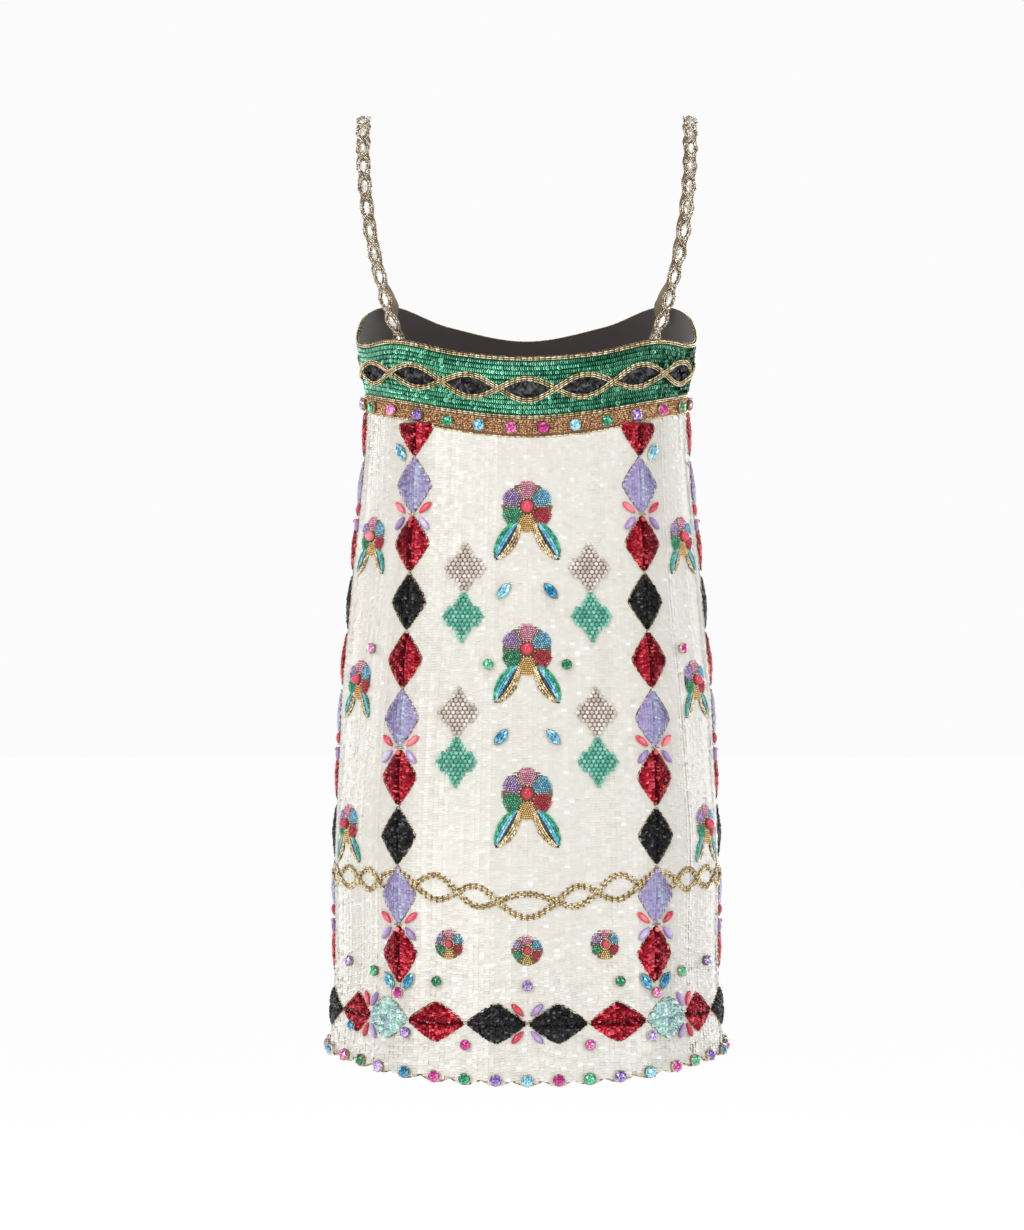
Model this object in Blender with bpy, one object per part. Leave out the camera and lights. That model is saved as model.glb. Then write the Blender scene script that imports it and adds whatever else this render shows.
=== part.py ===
"""A suspender dress: a hollow, sleeveless beaded mini dress that hangs from two braided straps.

Metres, +Z up. The origin is midway between the two places where the straps lie on the shoulders.
-Y is the dress's back and +Y its front. +X is the wearer's right.

The body is a table of rings. A spot on it is (place, height): place runs 0 at centre back, 0.5 at
the right side and 1 at centre front, and is negative on the left. Each piece is a grid whose outer
and inner points are both worked out on that body, so that what is sewn on follows what is under it.
"""

from collections import namedtuple
import math

import bmesh
import bpy
import numpy as np
from mathutils import Vector

# ---------------------------------------------------------------- driving dimensions
MM = 0.001
SEAM_GAP = 0.3 * MM
WALL = 2.0 * MM
ON_CLOTH = 0.7 * MM  # how far what is sewn on lies off the cloth under it

Ring = namedtuple("Ring", "height half_width back front squareness")
RINGS = (
    Ring(-0.800, 0.1622, 0.1290, 0.1410, 2.45),
    Ring(-0.765, 0.1598, 0.1280, 0.1400, 2.45),
    Ring(-0.695, 0.1556, 0.1255, 0.1375, 2.45),
    Ring(-0.613, 0.1558, 0.1220, 0.1335, 2.45),
    Ring(-0.530, 0.1526, 0.1155, 0.1290, 2.42),
    Ring(-0.465, 0.1496, 0.1070, 0.1262, 2.38),
    Ring(-0.415, 0.1450, 0.0995, 0.1248, 2.35),
    Ring(-0.366, 0.1412, 0.0940, 0.1240, 2.32),
    Ring(-0.317, 0.1364, 0.0905, 0.1248, 2.30),
    Ring(-0.270, 0.1322, 0.0892, 0.1275, 2.30),
    Ring(-0.240, 0.1312, 0.0900, 0.1290, 2.30),
    Ring(-0.212, 0.1348, 0.0920, 0.1280, 2.30),
    Ring(-0.187, 0.1390, 0.0925, 0.1230, 2.30),
    Ring(-0.135, 0.1400, 0.0900, 0.1060, 2.30),
)

# Heights of the edges, from centre back (0) past the side (0.5) to centre front (1).
Edge = namedtuple("Edge", "place neck band_foot strip_foot hem")
EDGES = (
    Edge(0.00, -0.2018, -0.2510, -0.2653, -0.7850),
    Edge(0.15, -0.1974, -0.2463, -0.2605, -0.7825),
    Edge(0.30, -0.1862, -0.2370, -0.2490, -0.7745),
    Edge(0.40, -0.1876, -0.2319, -0.2442, -0.7700),
    Edge(0.50, -0.1803, -0.2277, -0.2400, -0.7670),
    Edge(0.60, -0.1590, -0.2240, -0.2365, -0.7665),
    Edge(0.69, -0.1500, -0.2212, -0.2340, -0.7672),
    Edge(0.84, -0.1650, -0.2190, -0.2318, -0.7685),
    Edge(1.00, -0.1760, -0.2185, -0.2313, -0.7700),
)

# Soft vertical folds: where, how wide (1 is half the girth), how deep, and between which heights.
FOLD_FADES = 0.3  # share of its height over which a fold fades in and out
Fold = namedtuple("Fold", "place width depth top bottom")
FOLDS = (
    Fold(-0.355, 0.062, -0.0052, -0.268, -0.600),
    Fold(-0.445, 0.075, 0.0014, -0.280, -0.900),
    Fold(0.360, 0.062, -0.0044, -0.270, -0.620),
    Fold(0.445, 0.075, 0.0012, -0.300, -0.900),
    Fold(-0.330, 0.060, -0.0060, -0.540, -0.900),
    Fold(0.335, 0.060, -0.0046, -0.560, -0.900),
    Fold(0.120, 0.070, -0.0016, -0.480, -0.900),
    Fold(-0.140, 0.070, -0.0014, -0.540, -0.900),
    Fold(0.635, 0.062, -0.0046, -0.260, -0.640),
    Fold(-0.630, 0.060, -0.0042, -0.270, -0.700),
    Fold(0.660, 0.062, -0.0030, -0.560, -0.900),
    Fold(-0.670, 0.062, -0.0034, -0.520, -0.900),
    Fold(0.870, 0.070, -0.0032, -0.270, -0.900),
    Fold(-0.860, 0.070, -0.0028, -0.300, -0.900),
)

# A strap's underside, by how far from the middle, forward and up it lies, and how it leans to the
# side (degrees). Its two ends are worked out from the band, inside which they are sewn.
StrapPoint = namedtuple("StrapPoint", "across forward height lean")
STRAP_ROUTE = (
    StrapPoint(0.1110, -0.0685, -0.1640, 31.0),
    StrapPoint(0.1190, -0.0735, -0.1330, 24.0),
    StrapPoint(0.1262, -0.0735, -0.1010, 17.0),
    StrapPoint(0.1305, -0.0665, -0.0700, 12.0),
    StrapPoint(0.1332, -0.0500, -0.0370, 9.0),
    StrapPoint(0.1342, -0.0275, -0.0110, 8.0),
    StrapPoint(0.1345, 0.0000, 0.0000, 8.0),
    StrapPoint(0.1355, 0.0270, -0.0090, 9.0),
    StrapPoint(0.1362, 0.0500, -0.0330, 13.0),
    StrapPoint(0.1340, 0.0660, -0.0640, 20.0),
    StrapPoint(0.1290, 0.0735, -0.0960, 29.0),
    StrapPoint(0.1225, 0.0745, -0.1260, 38.0),
)
SHOULDER_CENTRE = -0.17  # the height of the point that the straps face away from
STRAP_BACK = 0.300  # where on the band the ends are
STRAP_FRONT = 0.685
STRAP_TUCK = 0.010  # how far an end reaches down behind the band
STRAP_BENDS = 0.002  # how far above the neck edge it leaves the band's slope
STRAP_INSIDE = 1.9 * MM  # how far inside the band's wall a strap's end lies
STRAP_EYES = 23
STRAP_STEPS = 3
STRAP_AT_EYE = 0.0136
STRAP_AT_CROSSING = 0.0088
STRAP_THICK = 0.0034
STRAP_RIDGE = 0.9 * MM
STRAP_HOLLOW = 1.1 * MM

# The interlaced braid round the bust band.
BRAID_EYES = 17
BRAID_BACK_EYES = 7.86  # how many of them lie between the side seams at the back
BRAID_STEPS = (0, 0.16, 0.36, 0.64, 0.84)
BRAID_MIDDLE = 0.523  # share of the band's height, from its top
BRAID_SWING = 0.0089
BRAID_WIDTH = 0.0046
BRAID_THICK = 1.2 * MM
BRAID_OVER = 1.7 * MM  # how much higher the upper strand lies where two cross
BRAID_LIFTS = 0.75  # share of the swing at which it starts to rise, and over which it does
BRAID_LIFT_EASE = 0.3

STONE = 0.0080
STONE_RISE = 3.2 * MM
STRIP_BACK_STONES = 14
STRIP_FRONT_STONES = 16
HEM_TRIM = 0.0160
HEM_BACK_STONES = 19
HEM_FRONT_STONES = 20
HEM_STONE_FOOT = 0.0050  # how far above the hem a stone's middle is
SCALLOP = 0.0040

# Upright lozenges in six columns, each at a place at its first tip and at its foot, and lying ones in
# a row above the hem.
Column = namedtuple("Column", "top foot half_width")
COLUMNS = (
    Column(-0.745, -0.745, 0.0158),
    Column(-0.500, -0.500, 0.0148),
    Column(-0.2585, -0.2288, 0.0158),
    Column(0.2585, 0.2288, 0.0158),
    Column(0.500, 0.500, 0.0148),
    Column(0.745, 0.745, 0.0158),
)
COLUMN_LOZENGES = 9
COLUMN_FIRST_TIP = -0.2806
COLUMN_FOOT = -0.7041
ROW_TIPS = (0.0, 0.106, 0.211, 0.296, 0.386, 0.5)  # places from a centre line to a side seam
ROW_HEIGHT = -0.7285
ROW_DIP = 0.35  # share of the hem's own dip
ROW_HALF_HEIGHT = 0.0158
WIDEST_SHOWS = 1.1  # half lengths above its lower tip that a cut-off lozenge shows its widest from
ROW_SHOULDER = 0.52  # share of its height that a lying lozenge has half way to its tip
UP_TO_STRIP = 0.0  # a height above the strip's foot, where the strip cuts a column off
NECK_HALF = 0.0014  # half width where two lozenges touch
LOZENGE_EDGE = 1.0 * MM
LOZENGE_RISE = 2.4 * MM

# Flowers: a round head with a pearl in its middle and two leaves under it. Blossoms have no leaves.
Flower = namedtuple("Flower", "place height head leaf")
CENTRE_FLOWERS = (
    Flower(0.0, -0.322, 0.0205, 0.050),
    Flower(0.0, -0.437, 0.0205, 0.050),
    Flower(0.0, -0.552, 0.0205, 0.050),
)
SIDE_FLOWERS = (
    Flower(0.378, -0.345, 0.0160, 0.036),
    Flower(0.378, -0.462, 0.0160, 0.036),
    Flower(0.378, -0.579, 0.0160, 0.036),
)
BLOSSOMS = (
    Flower(-0.137, -0.6720, 0.0125, 0.0),
    Flower(0.0, -0.6765, 0.0125, 0.0),
    Flower(0.137, -0.6720, 0.0125, 0.0),
)
FLOWER_RAYS = 12
LEAF_RAYS = (5, 7)
FLOWER_FOOT = 0.75  # how far the outline reaches between the leaves, as a share of the head
PEARL_SHARE = 0.25  # the radius of a flower's pearl, as a share of its head
PEARL_RISE = 0.2  # how far the pearl stands up, as a share of the head
FLOWER_THICK = 1.4 * MM

# Pairs of pearl lozenges beside the flowers: their tips from the top down.
PEARL_PLACE = 0.130
PEARL_TIPS = ((-0.352, -0.391, -0.430), (-0.468, -0.507, -0.546))
PEARL_HALF_WIDTH = 0.0175
PEARL_THICK = 1.6 * MM

SKIRT_COLUMNS = 36
SKIRT_ROWS = 13
BAND_COLUMNS = 24
BAND_ROWS = 2


# ---------------------------------------------------------------- the body's surface
def through(rows, by, column, at, level_ends=False):
    """A column's value on a smooth curve through a table's rows, level at both ends if level_ends."""
    known = np.array([getattr(row, by) for row in rows])
    value = np.array([getattr(row, column) for row in rows])
    slope = np.gradient(value, known)
    if level_ends:
        slope[[0, -1]] = 0
    at = np.clip(at, known[0], known[-1])
    i = np.clip(np.searchsorted(known, at) - 1, 0, len(known) - 2)
    span = known[i + 1] - known[i]
    t = (at - known[i]) / span
    return (
        (2 * t**3 - 3 * t**2 + 1) * value[i]
        + (t**3 - 2 * t**2 + t) * span * slope[i]
        + (3 * t**2 - 2 * t**3) * value[i + 1]
        + (t**3 - t**2) * span * slope[i + 1]
    )


LEVELS = np.linspace(RINGS[0].height, RINGS[-1].height, 100)
QUARTER_STEPS = 64


def quarter(half_width, depth, squareness):
    """A quarter of a rounded ring, from the centre line to the side, at even steps, and its girth."""
    angle = np.linspace(0, math.pi / 2, 400)
    x = half_width * np.sin(angle) ** (2 / squareness)
    y = depth * np.cos(angle) ** (2 / squareness)
    run = np.concatenate([[0], np.cumsum(np.hypot(np.diff(x), np.diff(y)))])
    even = np.linspace(0, run[-1], QUARTER_STEPS + 1)
    return np.interp(even, run, x), np.interp(even, run, y), run[-1]


def body_tables():
    """For each level, x and y from centre back to centre front, and the back and front quarters' girths."""
    xs, ys, girths = [], [], []
    for z in LEVELS:
        width, back, front, square = (through(RINGS, "height", c, z) for c in Ring._fields[1:])
        back_x, back_y, back_girth = quarter(width, back, square)
        front_x, front_y, front_girth = quarter(width, front, square)
        xs.append(np.concatenate([back_x, front_x[-2::-1]]))
        ys.append(np.concatenate([-back_y, front_y[-2::-1]]))
        girths.append((back_girth, front_girth))
    return np.array(xs), np.array(ys), np.array(girths)


def outward_tables():
    """The outward direction at each point of the body's tables."""
    dx = np.gradient(BODY_X, axis=1)
    dy = np.gradient(BODY_Y, axis=1)
    dy[:, 0] = 0  # a ring crosses the centre lines at a right angle
    dy[:, -1] = 0
    length = np.hypot(dx, dy)
    return dy / length, -dx / length


BODY_X, BODY_Y, QUARTER_GIRTHS = body_tables()
OUT_X, OUT_Y = outward_tables()


def looked_up(table, place, z):
    """A table's value between its points, at a place from 0 to 1 and a height."""
    column = place * (table.shape[1] - 1)
    row = np.clip((z - LEVELS[0]) / (LEVELS[1] - LEVELS[0]), 0, len(LEVELS) - 1)
    j = min(int(column), table.shape[1] - 2)
    i = min(int(row), len(LEVELS) - 2)
    a, b = column - j, row - i
    low = table[i, j] * (1 - a) + table[i, j + 1] * a
    high = table[i + 1, j] * (1 - a) + table[i + 1, j + 1] * a
    return low * (1 - b) + high * b


def wrapped(place):
    return (place + 1) % 2 - 1


def smooth(t):
    t = min(max(t, 0.0), 1.0)
    return t * t * (3 - 2 * t)


def fold_depth(place, z):
    """How far the folds move the cloth out, or in where it is negative."""
    total = 0.0
    for fold in FOLDS:
        away = wrapped(place - fold.place) / fold.width
        ease = FOLD_FADES * (fold.top - fold.bottom)
        window = smooth((fold.top - z) / ease) * smooth((z - fold.bottom) / ease)
        total += fold.depth * window * math.exp(-away * away)
    return total


def body_point(place, z, out=0.0):
    """The point of the cloth's outer face at a place and height, moved out by out."""
    place = wrapped(place)
    side = -1 if place < 0 else 1
    there = abs(place)
    move = fold_depth(place, z) + out
    x = looked_up(BODY_X, there, z) + move * looked_up(OUT_X, there, z)
    y = looked_up(BODY_Y, there, z) + move * looked_up(OUT_Y, there, z)
    return Vector((side * x, y, z))


def places_per_metre(place, z):
    """How much of place one metre along the cloth is."""
    front = abs(wrapped(place)) > 0.5
    return 0.5 / np.interp(z, LEVELS, QUARTER_GIRTHS[:, int(front)])


def edge(column, place):
    """The height of an edge of the pattern at a place."""
    return float(through(EDGES, "place", column, abs(wrapped(place)), level_ends=True))


def spread(low, high, count):
    return [low + (high - low) * k / count for k in range(count + 1)]


def between_seams(is_front, shares):
    """Places at shares of the way along the back or the front, which stop short of the side seams."""
    half_gap = SEAM_GAP / 2 * places_per_metre(0.0, edge("band_foot", 0.0))
    start = 0.5 if is_front else -0.5
    return [start + half_gap + (1 - 2 * half_gap) * share for share in shares]


# ---------------------------------------------------------------- making pieces
def material(name, colour, roughness, metallic=0.0):
    made = bpy.data.materials.new(name)
    made.use_nodes = True
    shader = made.node_tree.nodes["Principled BSDF"]
    shader.inputs["Base Color"].default_value = (*colour, 1)
    shader.inputs["Roughness"].default_value = roughness
    shader.inputs["Metallic"].default_value = metallic
    made.diffuse_color = (*colour, 1)
    return made


def wall(name, columns, rows, outer, inner, surface, collection, joined=False):
    """A closed wall between two grids of points, each a function of column and row (0 is the top).

    joined closes the grid to a disc: its last column lies on its first, and its first row is a point.
    """
    bm = bmesh.new()
    column_of = bm.verts.layers.int.new("column")
    row_of = bm.verts.layers.int.new("row")
    bmesh.ops.create_grid(bm, x_segments=columns, y_segments=rows, size=0.5)
    for vertex in bm.verts:
        vertex[column_of] = round((vertex.co.x + 0.5) * columns)
        vertex[row_of] = round((0.5 - vertex.co.y) * rows)
        vertex.co = outer(vertex[column_of], vertex[row_of])
    if joined:
        bmesh.ops.remove_doubles(bm, verts=bm.verts[:], dist=0.01 * MM)
    grown = bmesh.ops.extrude_face_region(bm, geom=bm.faces[:], use_keep_orig=True)
    for vertex in (v for v in grown["geom"] if isinstance(v, bmesh.types.BMVert)):
        vertex.co = inner(vertex[column_of], vertex[row_of])
    bmesh.ops.recalc_face_normals(bm, faces=bm.faces[:])
    mesh = bpy.data.meshes.new(name)
    bm.to_mesh(mesh)
    bm.free()
    mesh.materials.append(surface)
    made = bpy.data.objects.new(name, mesh)
    collection.objects.link(made)
    mesh.shade_smooth()
    mesh.set_sharp_from_angle(angle=math.radians(40))
    return made


def body_piece(name, is_front, run, heights, surface, collection, rise=None):
    """A piece of the body's own wall.

    run goes 0 to 1 along the piece. heights gives the rows' heights at a place, and rise, where
    there is one, how far out a column and row's outer point stands.
    """
    places = between_seams(is_front, run)

    def outer(i, j):
        return body_point(places[i], heights(places[i])[j], rise(i, j) if rise else 0.0)

    def inner(i, j):
        return body_point(places[i], heights(places[i])[j], -WALL)

    rows = len(heights(places[0])) - 1
    return wall(name, len(run) - 1, rows, outer, inner, surface, collection)


def applied_piece(name, columns, rows, spot, thickness, surface, collection, joined=False):
    """What is sewn on: spot gives place, height and how far the outer point stands up from its edge."""

    def outer(i, j):
        place, z, up = spot(i, j)
        return body_point(place, z, ON_CLOTH + thickness + up)

    def inner(i, j):
        place, z, _ = spot(i, j)
        return body_point(place, z, ON_CLOTH)

    return wall(name, columns, rows, outer, inner, surface, collection, joined)


# ---------------------------------------------------------------- the dress's own pieces
def skirt(name, is_front, surface, collection):
    def heights(place):
        top = edge("strip_foot", place) - SEAM_GAP
        return spread(top, edge("hem", place) + HEM_TRIM + SEAM_GAP, SKIRT_ROWS)

    return body_piece(name, is_front, spread(0, 1, SKIRT_COLUMNS), heights, surface, collection)


def bust_band(name, is_front, surface, collection):
    def heights(place):
        return spread(edge("neck", place), edge("band_foot", place), BAND_ROWS)

    return body_piece(name, is_front, spread(0, 1, BAND_COLUMNS), heights, surface, collection)


def stone_strip(name, is_front, surface, collection):
    """The beaded strip under the band, with its stones raised."""
    count = STRIP_FRONT_STONES if is_front else STRIP_BACK_STONES
    half = STONE / 2 * places_per_metre(0.0, edge("band_foot", 0.0))
    run = [(k + 0.5) / count + step * half for k in range(count) for step in (-1, 0, 1)]

    def heights(place):
        return spread(edge("band_foot", place) - SEAM_GAP, edge("strip_foot", place), 2)

    def rise(i, j):
        return STONE_RISE if j == 1 and i % 3 == 2 else 0.0

    return body_piece(name, is_front, [0, *run, 1], heights, surface, collection, rise)


def hem_trim(name, is_front, surface, collection):
    """The scalloped edging at the hem, with a stone raised in each scallop."""
    count = HEM_FRONT_STONES if is_front else HEM_BACK_STONES
    start = 0.5 if is_front else -0.5
    half = STONE / 2 * places_per_metre(0.0, edge("hem", 0.0))
    run = []
    for k in range(count):
        middle = (k + 0.5) / count
        run += [k / count, middle - half, middle, middle + half]

    def heights(place):
        belly = abs(math.sin(math.pi * (place - start) * count))
        foot = edge("hem", place) + SCALLOP * (1 - belly)
        return [edge("hem", place) + HEM_TRIM, edge("hem", place) + HEM_STONE_FOOT, foot]

    def rise(i, j):
        return STONE_RISE if j == 1 and i % 4 == 2 else 0.0

    return body_piece(name, is_front, [*run, 1], heights, surface, collection, rise)


def braid_turn(place):
    """How many crossings of the braid a place from -0.5 to 1.5 is past the one left of centre back."""
    front = max(place - 0.5, 0.0)
    return 0.5 + BRAID_BACK_EYES * (place - front) + (BRAID_EYES - BRAID_BACK_EYES) * front


def braid_strand(name, is_front, twist, surface, collection):
    """One strand of the band's braid. twist is 1 or -1, and the two cross over in turn."""
    start = 0.5 if is_front else -0.5
    first, last = braid_turn(start), braid_turn(start + 1)
    steps = [k + step for k in range(math.floor(first), math.ceil(last)) for step in BRAID_STEPS]
    clear = BRAID_STEPS[1] / 2
    marks = [first, *[mark for mark in steps if first + clear < mark < last - clear], last]

    def path(mark):
        place = between_seams(is_front, [(mark - first) / (last - first)])[0]
        middle = edge("neck", place) * (1 - BRAID_MIDDLE) + edge("band_foot", place) * BRAID_MIDDLE
        turn = math.pi * mark
        return place, middle + twist * BRAID_SWING * math.sin(turn), turn

    def over(turn):
        """How far up the strand is lifted: at every other crossing it passes over."""
        near = smooth((BRAID_LIFTS - abs(math.sin(turn))) / BRAID_LIFT_EASE)
        is_upper = (round(turn / math.pi) % 2 == 0) == (twist > 0)
        return near * BRAID_OVER if is_upper else 0.0

    def point(i, j, out):
        place, z, turn = path(marks[i])
        step = 0.01
        before, after = path(marks[i] - step), path(marks[i] + step)
        along = (after[0] - before[0]) / places_per_metre(place, z)
        up = after[1] - before[1]
        across = (j - 0.5) * BRAID_WIDTH / math.hypot(along, up)
        shift = across * up * places_per_metre(place, z)
        if i in (0, len(marks) - 1):
            shift = 0.0  # the ends are cut along the side seams
        return body_point(place + shift, z - across * along, ON_CLOTH + over(turn) + out)

    def outer(i, j):
        return point(i, j, BRAID_THICK)

    def inner(i, j):
        return point(i, j, 0.0)

    return wall(name, len(marks) - 1, 1, outer, inner, surface, collection)


# ---------------------------------------------------------------- straps
def strap_points():
    """The whole route of the right strap, its ends tucked inside the band."""
    inside = -(WALL + STRAP_INSIDE + STRAP_THICK)

    def end(place, up):
        z = edge("neck", place) + up
        lean = math.asin(looked_up(OUT_X, place, z))
        return StrapPoint(*body_point(place, z, inside), math.degrees(lean))

    back = [end(STRAP_BACK, -STRAP_TUCK), end(STRAP_BACK, STRAP_BENDS)]
    front = [end(STRAP_FRONT, STRAP_BENDS), end(STRAP_FRONT, -STRAP_TUCK)]
    return [*back, *STRAP_ROUTE, *front]


StrapStep = namedtuple("StrapStep", ("share", *StrapPoint._fields))


def strap_route(count):
    """count + 1 places at even steps along the strap: position, direction, and the way it faces."""
    points = strap_points()
    gaps = [math.dist(a[:3], b[:3]) for a, b in zip(points, points[1:])]
    shares = np.concatenate([[0], np.cumsum(gaps)]) / sum(gaps)
    steps = [StrapStep(share, *point) for share, point in zip(shares, points)]

    def spot(share):
        return Vector([float(through(steps, "share", c, share)) for c in StrapPoint._fields[:3]])

    route = []
    step = 0.005
    for share in spread(0, 1, count):
        here = spot(share)
        ahead = (spot(min(share + step, 1)) - spot(max(share - step, 0))).normalized()
        lean = math.radians(float(through(steps, "share", "lean", share)))
        away = Vector((0, here.y, here.z - SHOULDER_CENTRE)).normalized() * math.cos(lean)
        away.x = math.sin(lean)
        away = (away - away.dot(ahead) * ahead).normalized()
        route.append((here, ahead, away))
    return route


def strap(name, side, surface, collection):
    """A two-strand braid, wide at each eye and narrow at each crossing, with the eyes sunk."""
    route = strap_route(STRAP_EYES * STRAP_STEPS)

    def eye(i):
        return abs(math.sin(math.pi * i / STRAP_STEPS))

    def point(i, j, out):
        here, ahead, away = route[i]
        half = (STRAP_AT_CROSSING + (STRAP_AT_EYE - STRAP_AT_CROSSING) * eye(i)) / 2
        spot = here + away * out + ahead.cross(away) * half * (j - 1)
        return Vector((side * spot.x, spot.y, spot.z))

    def outer(i, j):
        ridge = STRAP_RIDGE - (STRAP_RIDGE + STRAP_HOLLOW) * eye(i) if j == 1 else 0.0
        is_tucked = min(i, len(route) - 1 - i) < STRAP_STEPS
        return point(i, j, STRAP_THICK + (min(ridge, 0.0) if is_tucked else ridge))

    def inner(i, j):
        return point(i, j, 0.0)

    return wall(name, STRAP_EYES * STRAP_STEPS, 2, outer, inner, surface, collection)


# ---------------------------------------------------------------- what is sewn on the skirt
def lozenge_chain(name, line, stops, thickness, rise, surface, collection):
    """Upright lozenges that touch tip to tip along a line, which gives its place at each height.

    stops gives each height and the half width there.
    """

    def spot(i, j):
        z, half = stops[j]
        there = line(z) + (i - 1) * half * places_per_metre(line(z), z)
        is_middle = i == 1 and half > 2 * NECK_HALF
        return there, min(z, edge("strip_foot", there) - SEAM_GAP), rise if is_middle else 0.0

    return applied_piece(name, 2, len(stops) - 1, spot, thickness, surface, collection)


def chain_stops(tips, half_width):
    stops = [(tips[0], NECK_HALF)]
    for upper, lower in zip(tips, tips[1:]):
        stops += [((upper + lower) / 2, half_width), (lower, NECK_HALF)]
    return stops


def lozenge_column(name, column, surface, collection):
    """A column of lozenges, of which the first is cut off by the strip above it."""
    tips = spread(COLUMN_FIRST_TIP, COLUMN_FOOT, COLUMN_LOZENGES)
    half_length = (tips[0] - tips[1]) / 2

    def line(z):
        down = (z - COLUMN_FIRST_TIP) / (COLUMN_FOOT - COLUMN_FIRST_TIP)
        return column.top + (column.foot - column.top) * max(down, 0.0)

    above = (edge("strip_foot", column.top) - tips[0]) / half_length  # 1 where the strip cuts its widest
    stops = chain_stops(tips, column.half_width)
    if above > WIDEST_SHOWS:
        stops.insert(0, (tips[0] + half_length, column.half_width))
    stops.insert(0, (UP_TO_STRIP, max(column.half_width * (1 - abs(1 - above)), NECK_HALF)))
    lozenge_chain(name, line, stops, LOZENGE_EDGE, LOZENGE_RISE, surface, collection)


def lozenge_row(name, is_front, surface, collection):
    """The row of lying lozenges above the hem."""
    tips = [0.5 - tip for tip in ROW_TIPS[::-1]] + [0.5 + tip for tip in ROW_TIPS[1:]]
    shares = [share for tip, next_tip in zip(tips, tips[1:]) for share in spread(tip, next_tip, 4)[:-1]]
    places = between_seams(is_front, [*shares, 1])

    def spot(i, j):
        middle = ROW_HEIGHT + ROW_DIP * (edge("hem", places[i]) - edge("hem", 0.5))
        size = (0.0, ROW_SHOULDER, 1.0, ROW_SHOULDER)[i % 4]
        half = NECK_HALF + size * (ROW_HALF_HEIGHT - NECK_HALF)
        return places[i], middle + (1 - j) * half, size * LOZENGE_RISE if j == 1 else 0.0

    applied_piece(name, len(places) - 1, 2, spot, LOZENGE_EDGE, surface, collection)


def flower(name, place, row, surface, collection):
    """Rays from a pearl to the outline. Where there are leaves, two rays reach on down to their tips."""
    reach = [row.head] * FLOWER_RAYS
    if row.leaf:
        for ray in LEAF_RAYS:
            reach[ray] = row.leaf
        reach[FLOWER_RAYS // 2] = FLOWER_FOOT * row.head

    def spot(i, j):
        turn = 2 * math.pi * i / FLOWER_RAYS
        radius = (0.0, PEARL_SHARE * row.head, reach[i % FLOWER_RAYS])[j]
        along = radius * math.sin(turn) * places_per_metre(place, row.height)
        return place + along, row.height + radius * math.cos(turn), (PEARL_RISE * row.head, 0.0, 0.0)[j]

    applied_piece(name, FLOWER_RAYS, 2, spot, FLOWER_THICK, surface, collection, joined=True)


# ---------------------------------------------------------------- assembly
def main():
    for old in list(bpy.data.objects):
        bpy.data.objects.remove(old)
    dress = bpy.data.collections.new("suspender_dress")
    bpy.context.scene.collection.children.link(dress)

    ivory = material("ivory_sequins", (0.86, 0.83, 0.75), 0.35)
    green = material("green_sequins", (0.0, 0.22, 0.10), 0.3, 0.3)
    bronze = material("bronze_beads", (0.50, 0.27, 0.12), 0.35, 0.8)
    gold = material("gold_beads", (0.62, 0.48, 0.24), 0.3, 0.9)
    red = material("red_sequins", (0.50, 0.01, 0.03), 0.3, 0.2)
    teal = material("teal_pearls", (0.15, 0.55, 0.42), 0.25)
    coral = material("coral_beads", (0.75, 0.20, 0.22), 0.3)

    for half, is_front in (("back", False), ("front", True)):
        skirt(f"skirt_{half}", is_front, ivory, dress)
        bust_band(f"bust_band_{half}", is_front, green, dress)
        stone_strip(f"stone_strip_{half}", is_front, bronze, dress)
        hem_trim(f"hem_trim_{half}", is_front, ivory, dress)
        lozenge_row(f"lozenge_row_{half}", is_front, red, dress)
        for strand, twist in (("a", 1), ("b", -1)):
            braid_strand(f"braid_{half}_{strand}", is_front, twist, gold, dress)
        centre = 1.0 if is_front else 0.0
        for k, row in enumerate(CENTRE_FLOWERS, 1):
            flower(f"flower_{half}_{k}", centre, row, coral, dress)
        for k, row in enumerate(BLOSSOMS, 1):
            flower(f"blossom_{half}_{k}", centre + row.place, row, coral, dress)
        for side, sign in (("left", -1), ("right", 1)):
            for k, row in enumerate(SIDE_FLOWERS, 1):
                place = sign * (1 - row.place if is_front else row.place)
                flower(f"flower_{half}_{side}_{k}", place, row, coral, dress)
            for k, tips in enumerate(PEARL_TIPS, 1):
                place = sign * (1 - PEARL_PLACE if is_front else PEARL_PLACE)
                stops = chain_stops(tips, PEARL_HALF_WIDTH)
                pearls = f"pearls_{half}_{side}_{k}"
                lozenge_chain(pearls, lambda z, place=place: place, stops, PEARL_THICK, 0.0, teal, dress)

    for side, sign in (("left", -1), ("right", 1)):
        strap(f"strap_{side}", sign, gold, dress)
    for k, column in enumerate(COLUMNS, 1):
        lozenge_column(f"lozenge_column_{k}", column, red, dress)


main()
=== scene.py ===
"""The looks of a beaded suspender dress: cloth, sequins, beads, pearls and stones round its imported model.

Metres, +Z up. -Y is the dress's back and +Y its front. +X is the wearer's right. The origin is
midway between the two places where the straps lie on the shoulders.

A spot on the dress is (place, height): place runs 0 at centre back, 0.5 at the right side and 1 at
centre front, and is negative on the left. What is sewn on takes its points and its facing from the
cloth there.
"""

from collections import namedtuple
from functools import partial
import math

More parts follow.
